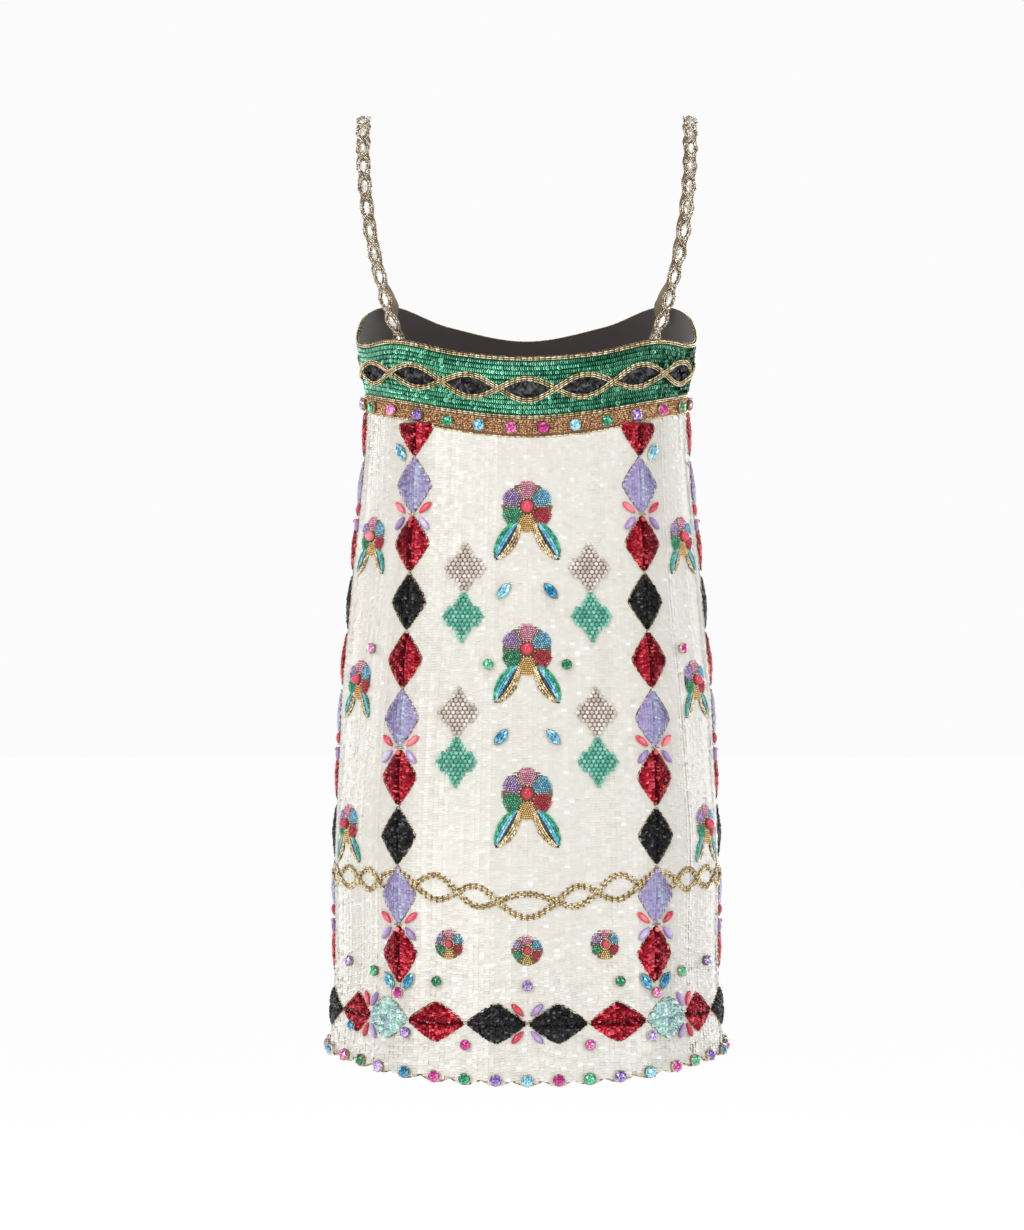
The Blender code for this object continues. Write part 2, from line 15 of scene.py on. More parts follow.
import bmesh
import bpy
import numpy as np
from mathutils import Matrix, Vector


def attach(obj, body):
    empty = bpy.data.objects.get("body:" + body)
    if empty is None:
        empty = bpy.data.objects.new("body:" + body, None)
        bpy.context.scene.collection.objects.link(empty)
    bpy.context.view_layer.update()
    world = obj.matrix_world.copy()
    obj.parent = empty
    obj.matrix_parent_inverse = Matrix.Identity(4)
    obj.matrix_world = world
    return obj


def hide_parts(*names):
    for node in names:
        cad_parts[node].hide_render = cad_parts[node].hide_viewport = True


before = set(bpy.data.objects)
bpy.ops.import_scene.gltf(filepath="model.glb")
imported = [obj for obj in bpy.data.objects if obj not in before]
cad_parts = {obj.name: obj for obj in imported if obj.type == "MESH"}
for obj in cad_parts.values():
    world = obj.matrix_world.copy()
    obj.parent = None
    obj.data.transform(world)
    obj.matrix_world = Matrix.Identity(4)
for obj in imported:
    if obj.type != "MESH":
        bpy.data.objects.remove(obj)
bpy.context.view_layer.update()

MM = 0.001
BODY = "root"
# The dress's halves: the place of each one's centre line, and of the side seam where it starts.
Half = namedtuple("Half", "name is_front centre seam")
HALVES = (Half("back", False, 0.0, -0.5), Half("front", True, 1.0, 0.5))
SIDES = (("left", -1), ("right", 1))

# ---------------------------------------------------------------- the pattern
Ring = namedtuple("Ring", "height half_width back front squareness")
RINGS = (
    Ring(-0.800, 0.1622, 0.1290, 0.1410, 2.45),
    Ring(-0.765, 0.1598, 0.1280, 0.1400, 2.45),
    Ring(-0.695, 0.1556, 0.1255, 0.1375, 2.45),
    Ring(-0.613, 0.1558, 0.1220, 0.1335, 2.45),
    Ring(-0.530, 0.1526, 0.1155, 0.1290, 2.42),
    Ring(-0.465, 0.1496, 0.1070, 0.1262, 2.38),
    Ring(-0.415, 0.1450, 0.0995, 0.1248, 2.35),
    Ring(-0.366, 0.1412, 0.0940, 0.1240, 2.32),
    Ring(-0.317, 0.1364, 0.0905, 0.1248, 2.30),
    Ring(-0.270, 0.1322, 0.0892, 0.1275, 2.30),
    Ring(-0.240, 0.1312, 0.0900, 0.1290, 2.30),
    Ring(-0.212, 0.1348, 0.0920, 0.1280, 2.30),
    Ring(-0.187, 0.1390, 0.0925, 0.1230, 2.30),
    Ring(-0.135, 0.1400, 0.0900, 0.1060, 2.30),
)

Edge = namedtuple("Edge", "place neck band_foot strip_foot hem")
EDGES = (
    Edge(0.00, -0.2018, -0.2510, -0.2653, -0.7850),
    Edge(0.15, -0.1974, -0.2463, -0.2605, -0.7825),
    Edge(0.30, -0.1862, -0.2370, -0.2490, -0.7745),
    Edge(0.40, -0.1876, -0.2319, -0.2442, -0.7700),
    Edge(0.50, -0.1803, -0.2277, -0.2400, -0.7670),
    Edge(0.60, -0.1590, -0.2240, -0.2365, -0.7665),
    Edge(0.69, -0.1500, -0.2212, -0.2340, -0.7672),
    Edge(0.84, -0.1650, -0.2190, -0.2318, -0.7685),
    Edge(1.00, -0.1760, -0.2185, -0.2313, -0.7700),
)

# Soft troughs and ridges of the cloth: where, how wide, how deep, and between which heights.
FOLD_FADES = 0.3
Fold = namedtuple("Fold", "place width depth top bottom")
FOLDS = (
    Fold(-0.355, 0.062, -0.0052, -0.268, -0.600),
    Fold(-0.445, 0.075, 0.0014, -0.280, -0.900),
    Fold(0.360, 0.062, -0.0044, -0.270, -0.620),
    Fold(0.445, 0.075, 0.0012, -0.300, -0.900),
    Fold(-0.330, 0.060, -0.0060, -0.540, -0.900),
    Fold(0.335, 0.060, -0.0046, -0.560, -0.900),
    Fold(0.120, 0.070, -0.0016, -0.480, -0.900),
    Fold(-0.140, 0.070, -0.0014, -0.540, -0.900),
    Fold(0.635, 0.062, -0.0046, -0.260, -0.640),
    Fold(-0.630, 0.060, -0.0042, -0.270, -0.700),
    Fold(0.660, 0.062, -0.0030, -0.560, -0.900),
    Fold(-0.670, 0.062, -0.0034, -0.520, -0.900),
    Fold(0.870, 0.070, -0.0032, -0.270, -0.900),
    Fold(-0.860, 0.070, -0.0028, -0.300, -0.900),
)
LEVELS = np.linspace(RINGS[0].height, RINGS[-1].height, 100)
QUARTER_STEPS = 64


def through(rows, by, column, at, level_ends=False):
    """A column's value on a smooth curve through a table's rows, level at both ends if level_ends."""
    known = np.array([getattr(row, by) for row in rows])
    value = np.array([getattr(row, column) for row in rows])
    slope = np.gradient(value, known)
    if level_ends:
        slope[[0, -1]] = 0
    at = np.clip(at, known[0], known[-1])
    i = np.clip(np.searchsorted(known, at) - 1, 0, len(known) - 2)
    span = known[i + 1] - known[i]
    t = (at - known[i]) / span
    return (
        (2 * t**3 - 3 * t**2 + 1) * value[i]
        + (t**3 - 2 * t**2 + t) * span * slope[i]
        + (3 * t**2 - 2 * t**3) * value[i + 1]
        + (t**3 - t**2) * span * slope[i + 1]
    )


def quarter(half_width, depth, squareness):
    """A quarter of a rounded ring, from the centre line to the side, at even steps, and its girth."""
    angle = np.linspace(0, math.pi / 2, 400)
    x = half_width * np.sin(angle) ** (2 / squareness)
    y = depth * np.cos(angle) ** (2 / squareness)
    run = np.concatenate([[0], np.cumsum(np.hypot(np.diff(x), np.diff(y)))])
    even = np.linspace(0, run[-1], QUARTER_STEPS + 1)
    return np.interp(even, run, x), np.interp(even, run, y), run[-1]


def body_tables():
    """For each level, x and y from centre back to centre front, and the back and front quarters' girths."""
    xs, ys, girths = [], [], []
    for z in LEVELS:
        width, back, front, square = (through(RINGS, "height", c, z) for c in Ring._fields[1:])
        back_x, back_y, back_girth = quarter(width, back, square)
        front_x, front_y, front_girth = quarter(width, front, square)
        xs.append(np.concatenate([back_x, front_x[-2::-1]]))
        ys.append(np.concatenate([-back_y, front_y[-2::-1]]))
        girths.append((back_girth, front_girth))
    return np.array(xs), np.array(ys), np.array(girths)


def outward_tables():
    """The outward direction at each point of the body's tables."""
    dx = np.gradient(BODY_X, axis=1)
    dy = np.gradient(BODY_Y, axis=1)
    dy[:, 0] = 0
    dy[:, -1] = 0
    length = np.hypot(dx, dy)
    return dy / length, -dx / length


BODY_X, BODY_Y, QUARTER_GIRTHS = body_tables()
OUT_X, OUT_Y = outward_tables()


def looked_up(table, place, z):
    """A table's values between its points, at places from 0 to 1 and heights."""
    column = place * (table.shape[1] - 1)
    row = np.clip((z - LEVELS[0]) / (LEVELS[1] - LEVELS[0]), 0, len(LEVELS) - 1)
    j = np.minimum(column.astype(int), table.shape[1] - 2)
    i = np.minimum(row.astype(int), len(LEVELS) - 2)
    a, b = column - j, row - i
    low = table[i, j] * (1 - a) + table[i, j + 1] * a
    high = table[i + 1, j] * (1 - a) + table[i + 1, j + 1] * a
    return low * (1 - b) + high * b


def wrapped(place):
    return (place + 1) % 2 - 1


def smooth(t):
    t = np.clip(t, 0, 1)
    return t * t * (3 - 2 * t)


def fold_depth(place, z):
    """How far the folds move the cloth out, or in where it is negative."""
    total = np.zeros(np.broadcast(place, z).shape)
    for fold in FOLDS:
        away = wrapped(place - fold.place) / fold.width
        ease = FOLD_FADES * (fold.top - fold.bottom)
        window = smooth((fold.top - z) / ease) * smooth((z - fold.bottom) / ease)
        total = total + fold.depth * window * np.exp(-away * away)
    return total


def cloth(place, z, out=0.0):
    """The points of the cloth's outer face at places and heights, moved out by out."""
    place, z, out = np.broadcast_arrays(np.asarray(place, float), np.asarray(z, float), out)
    place = wrapped(place)
    there = abs(place)
    move = fold_depth(place, z) + out
    x = looked_up(BODY_X, there, z) + move * looked_up(OUT_X, there, z)
    y = looked_up(BODY_Y, there, z) + move * looked_up(OUT_Y, there, z)
    return np.stack([np.where(place < 0, -x, x), y, z], axis=-1)


def places_per_metre(place, z):
    """How much of place one metre along the cloth is."""
    is_front = abs(wrapped(place)) > 0.5
    girths = np.where(
        is_front, np.interp(z, LEVELS, QUARTER_GIRTHS[:, 1]), np.interp(z, LEVELS, QUARTER_GIRTHS[:, 0])
    )
    return 0.5 / girths


def edge(column, place):
    """The height of an edge of the pattern at places."""
    return through(EDGES, "place", column, abs(wrapped(place)), level_ends=True)


def place_across(across, z, is_front):
    """The place on the back, or on the front, that is across metres to the right of the centre line."""
    level = int(round((z - LEVELS[0]) / (LEVELS[1] - LEVELS[0])))
    row = BODY_X[level, : QUARTER_STEPS + 1]
    if is_front:
        row = BODY_X[level, : QUARTER_STEPS - 1 : -1]
    share = np.interp(abs(across), row, np.linspace(0, 0.5, len(row)))
    return math.copysign(1 - share if is_front else share, across)


def unit(vectors):
    return vectors / np.linalg.norm(vectors, axis=-1, keepdims=True)


LIE_STEP = 3 * MM


def lie(place, z, out=0.0):
    """Where things lie on the cloth: their points, and their frames (rows: along, up, outward)."""
    place, z, out = (np.ravel(v).astype(float) for v in np.broadcast_arrays(place, z, out))
    step = LIE_STEP * places_per_metre(place, z)
    along = cloth(place + step, z) - cloth(place - step, z)
    up = cloth(place, z + LIE_STEP) - cloth(place, z - LIE_STEP)
    outward = unit(np.cross(along, up))
    along = unit(along)
    frames = np.stack([along, np.cross(outward, along), outward], axis=1)
    return cloth(place, z) + outward * out[:, None], frames


def leaned(frames, lean=0.0, turn=0.0, roll=0.0):
    """Frames turned in their own plane, rolled about their length, and leaned with the lower edge out."""
    lean, turn, roll = (np.broadcast_to(v, len(frames))[:, None] for v in (lean, turn, roll))
    x, y, z = frames[:, 0], frames[:, 1], frames[:, 2]
    x, y = x * np.cos(turn) + y * np.sin(turn), y * np.cos(turn) - x * np.sin(turn)
    x, z = x * np.cos(roll) - z * np.sin(roll), z * np.cos(roll) + x * np.sin(roll)
    y, z = y * np.cos(lean) - z * np.sin(lean), z * np.cos(lean) + y * np.sin(lean)
    return np.stack([x, y, z], axis=1)


# ---------------------------------------------------------------- shared effects
def node_group(name, inputs, outputs):
    """An empty node group with named sockets, and its input and output nodes."""
    group = bpy.data.node_groups.new(name, "ShaderNodeTree")
    for label, kind, value in inputs:
        socket = group.interface.new_socket(name=label, in_out="INPUT", socket_type=f"NodeSocket{kind}")
        socket.default_value = value
    for label, kind in outputs:
        group.interface.new_socket(name=label, in_out="OUTPUT", socket_type=f"NodeSocket{kind}")
    return group, group.nodes.new("NodeGroupInput"), group.nodes.new("NodeGroupOutput")


def noise(tree, scale, detail=2.0, roughness=0.5):
    """A noise on the object's own coordinates."""
    coordinates = tree.nodes.new("ShaderNodeTexCoord")
    pattern = tree.nodes.new("ShaderNodeTexNoise")
    pattern.inputs["Scale"].default_value = scale
    pattern.inputs["Detail"].default_value = detail
    pattern.inputs["Roughness"].default_value = roughness
    tree.links.new(coordinates.outputs["Object"], pattern.inputs["Vector"])
    return pattern


def math_node(tree, operation, first, second):
    made = tree.nodes.new("ShaderNodeMath")
    made.operation = operation
    for socket, value in zip(made.inputs, (first, second)):
        if isinstance(value, (int, float)):
            socket.default_value = value
        else:
            tree.links.new(value, socket)
    return made.outputs[0]


def mixed(tree, factor, first, second):
    """A colour between two, by a factor."""
    made = tree.nodes.new("ShaderNodeMix")
    made.data_type = "RGBA"
    made.clamp_factor = True
    tree.links.new(factor, made.inputs["Factor"])
    for socket, value in ((made.inputs[6], first), (made.inputs[7], second)):
        if isinstance(value, tuple):
            socket.default_value = (*value, 1)
        else:
            tree.links.new(value, socket)
    return made.outputs[2]


DYE_DRIFT = 0.22  # how far the slow drifts take a bead back to its main shade


def make_bead_to_bead():
    """Each bead its own shade, by the value sewn into it, which holds random differences and painted
    highlights and shade, and slow drifts of dye over the dress.
    """
    group, given, out = node_group(
        "bead_to_bead",
        [
            ("Main", "Color", (1, 1, 1, 1)),
            ("Pale", "Color", (1, 1, 1, 1)),
            ("Deep", "Color", (0, 0, 0, 1)),
            ("Polish", "Float", 0.25),
            ("Unevenness", "Float", 0.15),
        ],
        [("Colour", "Color"), ("Roughness", "Float")],
    )
    # The sewn value: random differences between beads, with painted highlights, glint spots and painted
    # shade added.
    tone = group.nodes.new("ShaderNodeAttribute")
    tone.attribute_name = "tone"
    shade = given.outputs["Main"]
    for label, start, full in (("Deep", 0.45, 0.0), ("Pale", 0.55, 1.0)):
        share = group.nodes.new("ShaderNodeMapRange")
        share.inputs["From Min"].default_value = start
        share.inputs["From Max"].default_value = full
        group.links.new(tone.outputs["Fac"], share.inputs["Value"])
        shade = mixed(group, share.outputs["Result"], shade, given.outputs[label])
    drift = math_node(group, "MULTIPLY", noise(group, 14.0, 3.0).outputs["Fac"], DYE_DRIFT)
    group.links.new(mixed(group, drift, shade, given.outputs["Main"]), out.inputs["Colour"])
    uneven = math_node(group, "MULTIPLY", tone.outputs["Fac"], given.outputs["Unevenness"])
    roughness = math_node(group, "ADD", uneven, given.outputs["Polish"])
    group.links.new(roughness, out.inputs["Roughness"])
    return group


def make_weave():
    """A plain weave: upright and level threads, and its worn, dusty places."""
    group, given, out = node_group(
        "weave", [("Threads", "Float", 900.0)], [("Height", "Float"), ("Wear", "Float")]
    )
    coordinates = group.nodes.new("ShaderNodeTexCoord")
    waves = []
    for direction in ("X", "Z"):
        wave = group.nodes.new("ShaderNodeTexWave")
        wave.bands_direction = direction
        wave.inputs["Distortion"].default_value = 0.6
        wave.inputs["Detail"].default_value = 1.0
        group.links.new(given.outputs["Threads"], wave.inputs["Scale"])
        group.links.new(coordinates.outputs["Object"], wave.inputs["Vector"])
        waves.append(wave.outputs["Fac"])
    group.links.new(math_node(group, "MAXIMUM", *waves), out.inputs["Height"])
    group.links.new(noise(group, 22.0, 4.0, 0.6).outputs["Fac"], out.inputs["Wear"])
    return group


BEAD_TO_BEAD = make_bead_to_bead()
WEAVE = make_weave()


# ---------------------------------------------------------------- finishes
def set_sockets(node, values):
    """Sets a node's inputs by name. A colour comes without its alpha."""
    for label, value in values.items():
        full = (*value, 1) if isinstance(value, tuple) else value
        node.inputs[label.replace("_", " ")].default_value = full


def placed_group(tree, group, **values):
    made = tree.nodes.new("ShaderNodeGroup")
    made.node_tree = group
    set_sockets(made, values)
    return made


def plain_finish(name, **sockets):
    """A material with its Principled BSDF's own sockets set."""
    made = bpy.data.materials.new(name)
    made.use_nodes = True
    shader = made.node_tree.nodes["Principled BSDF"]
    set_sockets(shader, sockets)
    return made, made.node_tree, shader


def bead_finish(name, main, pale, deep, polish, unevenness=0.15, **sockets):
    """Glass, plastic, foil or metal beads: each its own shade and polish, faintly uneven."""
    made, tree, shader = plain_finish(name, **sockets)
    shades = placed_group(
        tree, BEAD_TO_BEAD, Main=main, Pale=pale, Deep=deep, Polish=polish, Unevenness=unevenness
    )
    tree.links.new(shades.outputs["Colour"], shader.inputs["Base Color"])
    tree.links.new(shades.outputs["Roughness"], shader.inputs["Roughness"])
    return made


THREAD_HEIGHT = 0.15 * MM


def cloth_finish(name, colour, worn_colour, roughness, threads=900.0, sheen=0.2):
    """Woven cloth, with its threads raised."""
    made, tree, shader = plain_finish(name, Roughness=roughness, Sheen_Weight=sheen)
    woven = placed_group(tree, WEAVE, Threads=threads)
    shade = mixed(tree, woven.outputs["Wear"], colour, worn_colour)
    tree.links.new(shade, shader.inputs["Base Color"])
    raised = tree.nodes.new("ShaderNodeBump")
    set_sockets(raised, {"Distance": THREAD_HEIGHT, "Strength": 0.6})
    tree.links.new(woven.outputs["Height"], raised.inputs["Height"])
    tree.links.new(raised.outputs["Normal"], shader.inputs["Normal"])
    return made


# Each sequin's main, pale and deep shades, polish, coat, metallic and specular level. Painted highlights
# and glint spots take a sequin towards its pale shade, painted shade towards its deep one.
Sequins = namedtuple("Sequins", "main pale deep polish coat metallic shine")
SEQUINS = {
    "green_sequin": Sequins(
        (0.0, 0.120, 0.048), (0.34, 0.88, 0.62), (0.0, 0.016, 0.006), 0.20, 0.0, 0.8, 0.5
    ),
    "black_sequin": Sequins(
        (0.005, 0.005, 0.006), (0.12, 0.12, 0.13), (0.001, 0.001, 0.001), 0.30, 0.0, 0.0, 0.3
    ),
    "crimson_sequin": Sequins(
        (0.42, 0.004, 0.020), (0.92, 0.12, 0.16), (0.075, 0.0, 0.003), 0.24, 0.0, 0.7, 0.5
    ),
    "lilac_sequin": Sequins(
        (0.43, 0.38, 0.62), (0.52, 0.82, 0.80), (0.25, 0.18, 0.41), 0.24, 0.3, 0.0, 0.5
    ),
    "mint_sequin": Sequins(
        (0.34, 0.66, 0.55), (0.80, 0.93, 0.90), (0.40, 0.42, 0.62), 0.24, 0.4, 0.0, 0.5
    ),
}
Metal = namedtuple("Metal", "main pale deep polish metallic")
METALS = {
    "gold_bead": Metal((0.70, 0.55, 0.30), (0.97, 0.88, 0.68), (0.32, 0.22, 0.10), 0.16, 0.92),
    "dark_gold_bead": Metal((0.20, 0.13, 0.055), (0.42, 0.30, 0.14), (0.05, 0.03, 0.01), 0.25, 0.85),
    "strap_bead": Metal((0.60, 0.51, 0.38), (0.96, 0.91, 0.82), (0.12, 0.08, 0.045), 0.18, 0.9),
    "copper_bead": Metal((0.60, 0.33, 0.16), (0.92, 0.70, 0.46), (0.24, 0.10, 0.035), 0.25, 0.65),
    "setting": Metal((0.50, 0.41, 0.26), (0.80, 0.72, 0.56), (0.18, 0.13, 0.07), 0.22, 0.95),
}

# The main shade of each stone and pearl, its pale shade and its deep one; the stones' painted facet light
# and the petals' painted highlight and shade reach these.
STONES = {
    "pink_stone": ((0.74, 0.04, 0.36), (0.98, 0.48, 0.76), (0.30, 0.01, 0.13)),
    "blue_stone": ((0.03, 0.34, 0.58), (0.45, 0.82, 0.94), (0.0, 0.09, 0.22)),
    "green_stone": ((0.0, 0.30, 0.13), (0.16, 0.64, 0.38), (0.0, 0.06, 0.03)),
    "violet_stone": ((0.28, 0.14, 0.58), (0.72, 0.58, 0.94), (0.08, 0.03, 0.22)),
    "clear_stone": ((0.80, 0.79, 0.77), (0.97, 0.97, 0.97), (0.42, 0.38, 0.34)),
}
PEARLS = {
    "coral_pearl": ((0.68, 0.04, 0.085), (0.92, 0.26, 0.28), (0.42, 0.01, 0.03)),
    "lilac_pearl": ((0.38, 0.25, 0.53), (0.64, 0.54, 0.78), (0.22, 0.12, 0.34)),
    "teal_pearl": ((0.05, 0.44, 0.31), (0.22, 0.64, 0.50), (0.02, 0.28, 0.19)),
    "beige_pearl": ((0.62, 0.53, 0.47), (0.80, 0.73, 0.67), (0.44, 0.35, 0.30)),
    "pink_bead": ((0.76, 0.32, 0.44), (0.90, 0.56, 0.64), (0.56, 0.16, 0.28)),
    "sky_bead": ((0.12, 0.46, 0.66), (0.40, 0.74, 0.86), (0.03, 0.22, 0.42)),
    "leaf_bead": ((0.01, 0.32, 0.16), (0.10, 0.56, 0.34), (0.0, 0.12, 0.06)),
    "yellow_bead": ((0.80, 0.52, 0.18), (0.92, 0.72, 0.38), (0.56, 0.32, 0.08)),
    "red_bead": ((0.50, 0.01, 0.05), (0.74, 0.08, 0.12), (0.22, 0.0, 0.02)),
    "black_bead": ((0.012, 0.012, 0.012), (0.05, 0.05, 0.05), (0.003, 0.003, 0.003)),
}
# Each cloth's colour, worn colour and roughness, and its threads and sheen where they're its own.
CLOTHS = {
    "ivory_cloth": ((0.72, 0.69, 0.60), (0.64, 0.60, 0.50), 0.7),
    "green_cloth": ((0.0, 0.09, 0.045), (0.0, 0.05, 0.028), 0.6),
    "copper_cloth": ((0.28, 0.13, 0.05), (0.18, 0.08, 0.03), 0.6),
    "gold_tape": ((0.20, 0.14, 0.07), (0.12, 0.08, 0.04), 0.6),
    "lining": ((0.040, 0.031, 0.030), (0.058, 0.047, 0.045), 0.75, 700.0, 0.3),
    "crimson_cloth": ((0.13, 0.003, 0.01), (0.08, 0.001, 0.006), 0.6),
    "black_cloth": ((0.006, 0.006, 0.006), (0.012, 0.012, 0.012), 0.6),
    "lilac_cloth": ((0.30, 0.22, 0.46), (0.24, 0.17, 0.38), 0.6),
    "mint_cloth": ((0.26, 0.46, 0.42), (0.20, 0.38, 0.34), 0.6),
}

FINISHES = {
    "ivory_sequin": bead_finish(
        "ivory_sequin",
        (0.745, 0.722, 0.660),
        (0.930, 0.930, 0.920),
        (0.650, 0.620, 0.545),
        polish=0.34,
        unevenness=0.12,
        Coat_Weight=0.2,
        Coat_Roughness=0.15,
    ),
}
for label, row in SEQUINS.items():
    FINISHES[label] = bead_finish(
        label,
        row.main,
        row.pale,
        row.deep,
        polish=row.polish,
        Metallic=row.metallic,
        Specular_IOR_Level=row.shine,
        Coat_Weight=row.coat,
        Coat_Roughness=0.1,
    )
for label, row in METALS.items():
    shades = row.main, row.pale, row.deep
    FINISHES[label] = bead_finish(label, *shades, polish=row.polish, Metallic=row.metallic)
for label, shades in STONES.items():
    foiled = {"Metallic": 0.45, "Coat_Weight": 0.5, "Coat_Roughness": 0.03}
    FINISHES[label] = bead_finish(label, *shades, polish=0.08, unevenness=0.08, **foiled)
for label, shades in PEARLS.items():
    lustre = {"Coat_Weight": 0.5, "Coat_Roughness": 0.08}
    FINISHES[label] = bead_finish(label, *shades, polish=0.22, unevenness=0.1, **lustre)
for label, row in CLOTHS.items():
    FINISHES[label] = cloth_finish(label, *row)


# ---------------------------------------------------------------- the shapes of beads
# A bead's points, corners, sides and smoothness, and the painted highlights and painted shade on each
# point.
Bead = namedtuple("Bead", "points corners sides smooth tints")


def bead(build, is_smooth=True):
    """A small shape, 1 across, that bmesh makes."""
    bm = bmesh.new()
    build(bm)
    bmesh.ops.recalc_face_normals(bm, faces=bm.faces[:])
    points = np.array([v.co for v in bm.verts])
    corners = np.array([v.index for f in bm.faces for v in f.verts])
    sides = np.array([len(f.verts) for f in bm.faces])
    bm.free()
    return Bead(points, corners, sides, is_smooth, np.zeros(len(points)))


def open_disc(bm, sides, cup):
    """A cupped disc facing +Z, with its middle sunk."""
    bmesh.ops.create_circle(bm, cap_ends=True, cap_tris=True, segments=sides, radius=0.5)
    for vertex in bm.verts:
        if vertex.co.length < 0.1:
            vertex.co.z = -cup


def facing_up(shape):
    """The same bead, turned so that an open disc's faces look along +Z."""
    first = shape.points[shape.corners[:3]]
    if np.cross(first[1] - first[0], first[2] - first[0])[2] > 0:
        return shape
    starts = np.cumsum(shape.sides) - shape.sides
    corners = np.concatenate([shape.corners[s : s + n][::-1] for s, n in zip(starts, shape.sides)])
    return shape._replace(corners=corners)


def cup_sequin(sides, cup, rim=None):
    """A sequin pressed to a cup. With rim, a share of the radius, the rim stays flat round the cup."""

    def build(bm):
        open_disc(bm, sides, cup)
        if rim:
            bmesh.ops.inset_region(bm, faces=bm.faces[:], thickness=0.5 * (1 - rim), depth=0.0)

    return facing_up(bead(build))


def lit_edge(shape, bright, painted_middle_shade):
    """The same sequin with a painted highlight on a crescent of its rim, on its left, and painted shade in
    its middle.
    """
    x, y = shape.points[:, 0], shape.points[:, 1]
    radius = np.hypot(x, y)
    tints = np.where(radius > 0.4, bright * np.maximum(0, -x / 0.5), 0) - painted_middle_shade * (radius < 0.2)
    return shape._replace(tints=tints)


def tube_bead(sides):
    """A bugle bead along X."""

    def build(bm):
        bmesh.ops.create_cone(bm, cap_ends=True, segments=sides, radius1=0.5, radius2=0.5, depth=1.0)
        for vertex in bm.verts:
            vertex.co = Vector((vertex.co.z, vertex.co.x, vertex.co.y))

    return bead(build)


def round_bead(subdivisions):
    """A round bead, without the part of its underside that lies on the cloth."""

    def build(bm):
        bmesh.ops.create_icosphere(bm, subdivisions=subdivisions, radius=0.5)
        underside = [f for f in bm.faces if f.calc_center_median().z < -0.25]
        bmesh.ops.delete(bm, geom=underside, context="FACES")

    return bead(build)


def petal_bead():
    """A pressed petal along X: round in section, pointed at its inner end, painted paler on top as a
    painted highlight and darker at its edges as painted shade.
    """

    def build(bm):
        bmesh.ops.create_uvsphere(bm, u_segments=10, v_segments=8, radius=0.5)
        for vertex in bm.verts:
            along = vertex.co.z
            taper = 1.0 - 0.35 * max(0.0, -2 * along)
            vertex.co = Vector((along, vertex.co.x * taper, vertex.co.y * taper))

    shape = bead(build)
    # A painted highlight on the petal's top and painted shade towards its edges.
    crown = np.clip(2 * shape.points[:, 2], 0, 1) ** 3
    rim = np.clip(4 * (shape.points[:, 0] ** 2 + shape.points[:, 1] ** 2), 0, 1)
    return shape._replace(tints=0.35 * crown - 0.4 * rim)


# How much lighter or darker each facet is painted, in turn: painted reflections and painted shade inside a
# cut stone.
PAINTED_FACET_LIGHT = (0.5, -0.45, 0.15, -0.2, 0.42, -0.5, 0.3, -0.1)
# Shares of the outline and heights, of a stone's crown from its edge up and of a setting's wall.
CROWN = ((1.0, 0.0), (0.90, 0.17), (0.55, 0.30), (0.0, 0.33))
CUP_WALL = ((0.86, -0.30), (1.04, 0.0), (0.98, 0.05))
PRONG_RADIUS = 0.10
PRONG_SHARE = 0.93
PRONG_HEIGHT = 0.13


def cut_stone(outline):
    """A faceted stone: the hull of its outline, drawn in at each height, each facet painted lighter or
    darker as painted reflections and shade.
    """

    def build(bm):
        for level, (share, height) in enumerate(CROWN):
            if share == 0:
                bm.verts.new((0, 0, height))
                continue
            for k, (x, y) in enumerate(outline):
                if level == 0 or k % 2 == level % 2:
                    bm.verts.new((x * share, y * share, height))
        bmesh.ops.convex_hull(bm, input=bm.verts[:])
        bmesh.ops.split_edges(bm, edges=bm.edges[:])

    shape = bead(build, is_smooth=False)
    first = np.cumsum(shape.sides) - shape.sides
    tints = np.zeros(len(shape.points))
    for k, (start, count) in enumerate(zip(first, shape.sides)):
        tints[shape.corners[start : start + count]] = PAINTED_FACET_LIGHT[k % len(PAINTED_FACET_LIGHT)]
    return shape._replace(tints=tints)


def stone_cup(outline, prongs):
    """The metal setting round a stone: a low wall with prongs bent over its edge."""

    def build(bm):
        rims = []
        for share, height in CUP_WALL:
            rims.append([bm.verts.new((x * share, y * share, height)) for x, y in outline])
        count = len(outline)
        for lower, upper in zip(rims, rims[1:]):
            for k in range(count):
                bm.faces.new((lower[k], lower[(k + 1) % count], upper[(k + 1) % count], upper[k]))
        bm.faces.new(rims[0])
        for k in prongs:
            x, y = (PRONG_SHARE * c for c in outline[k])
            made = bmesh.ops.create_icosphere(bm, subdivisions=1, radius=PRONG_RADIUS)["verts"]
            bmesh.ops.translate(bm, verts=made, vec=(x, y, PRONG_HEIGHT))

    return bead(build)


def even_turns(count):
    return [2 * math.pi * k / count for k in range(count)]


def circle_outline(count):
    return [(0.5 * math.cos(t), 0.5 * math.sin(t)) for t in even_turns(count)]


def marquise_outline(count):
    """A pointed oval along X."""
    return [
        (0.5 * math.cos(t), 0.5 * math.copysign(abs(math.sin(t)) ** 1.45, math.sin(t)))
        for t in even_turns(count)
    ]


GROUND_SEQUIN = cup_sequin(4, 0.07)
FINE_SEQUIN = cup_sequin(7, 0.14)
# The band's sequins: a painted highlight of 0.9 on the rim's crescent and painted shade of 0.3 in the
# middle.
BAND_SEQUIN = lit_edge(cup_sequin(8, 0.16, rim=0.62), 0.9, 0.3)
BUGLE = tube_bead(6)
THREAD_BUGLE = tube_bead(5)
SEED = round_bead(1)
PEARL = round_bead(2)
BIG_PEARL = round_bead(3)
PETAL = petal_bead()
ROUND_STONE = cut_stone(circle_outline(16))
ROUND_CUP = stone_cup(circle_outline(16), (2, 6, 10, 14))
MARQUISE = cut_stone(marquise_outline(16))
MARQUISE_CUP = stone_cup(marquise_outline(16), (0, 8))


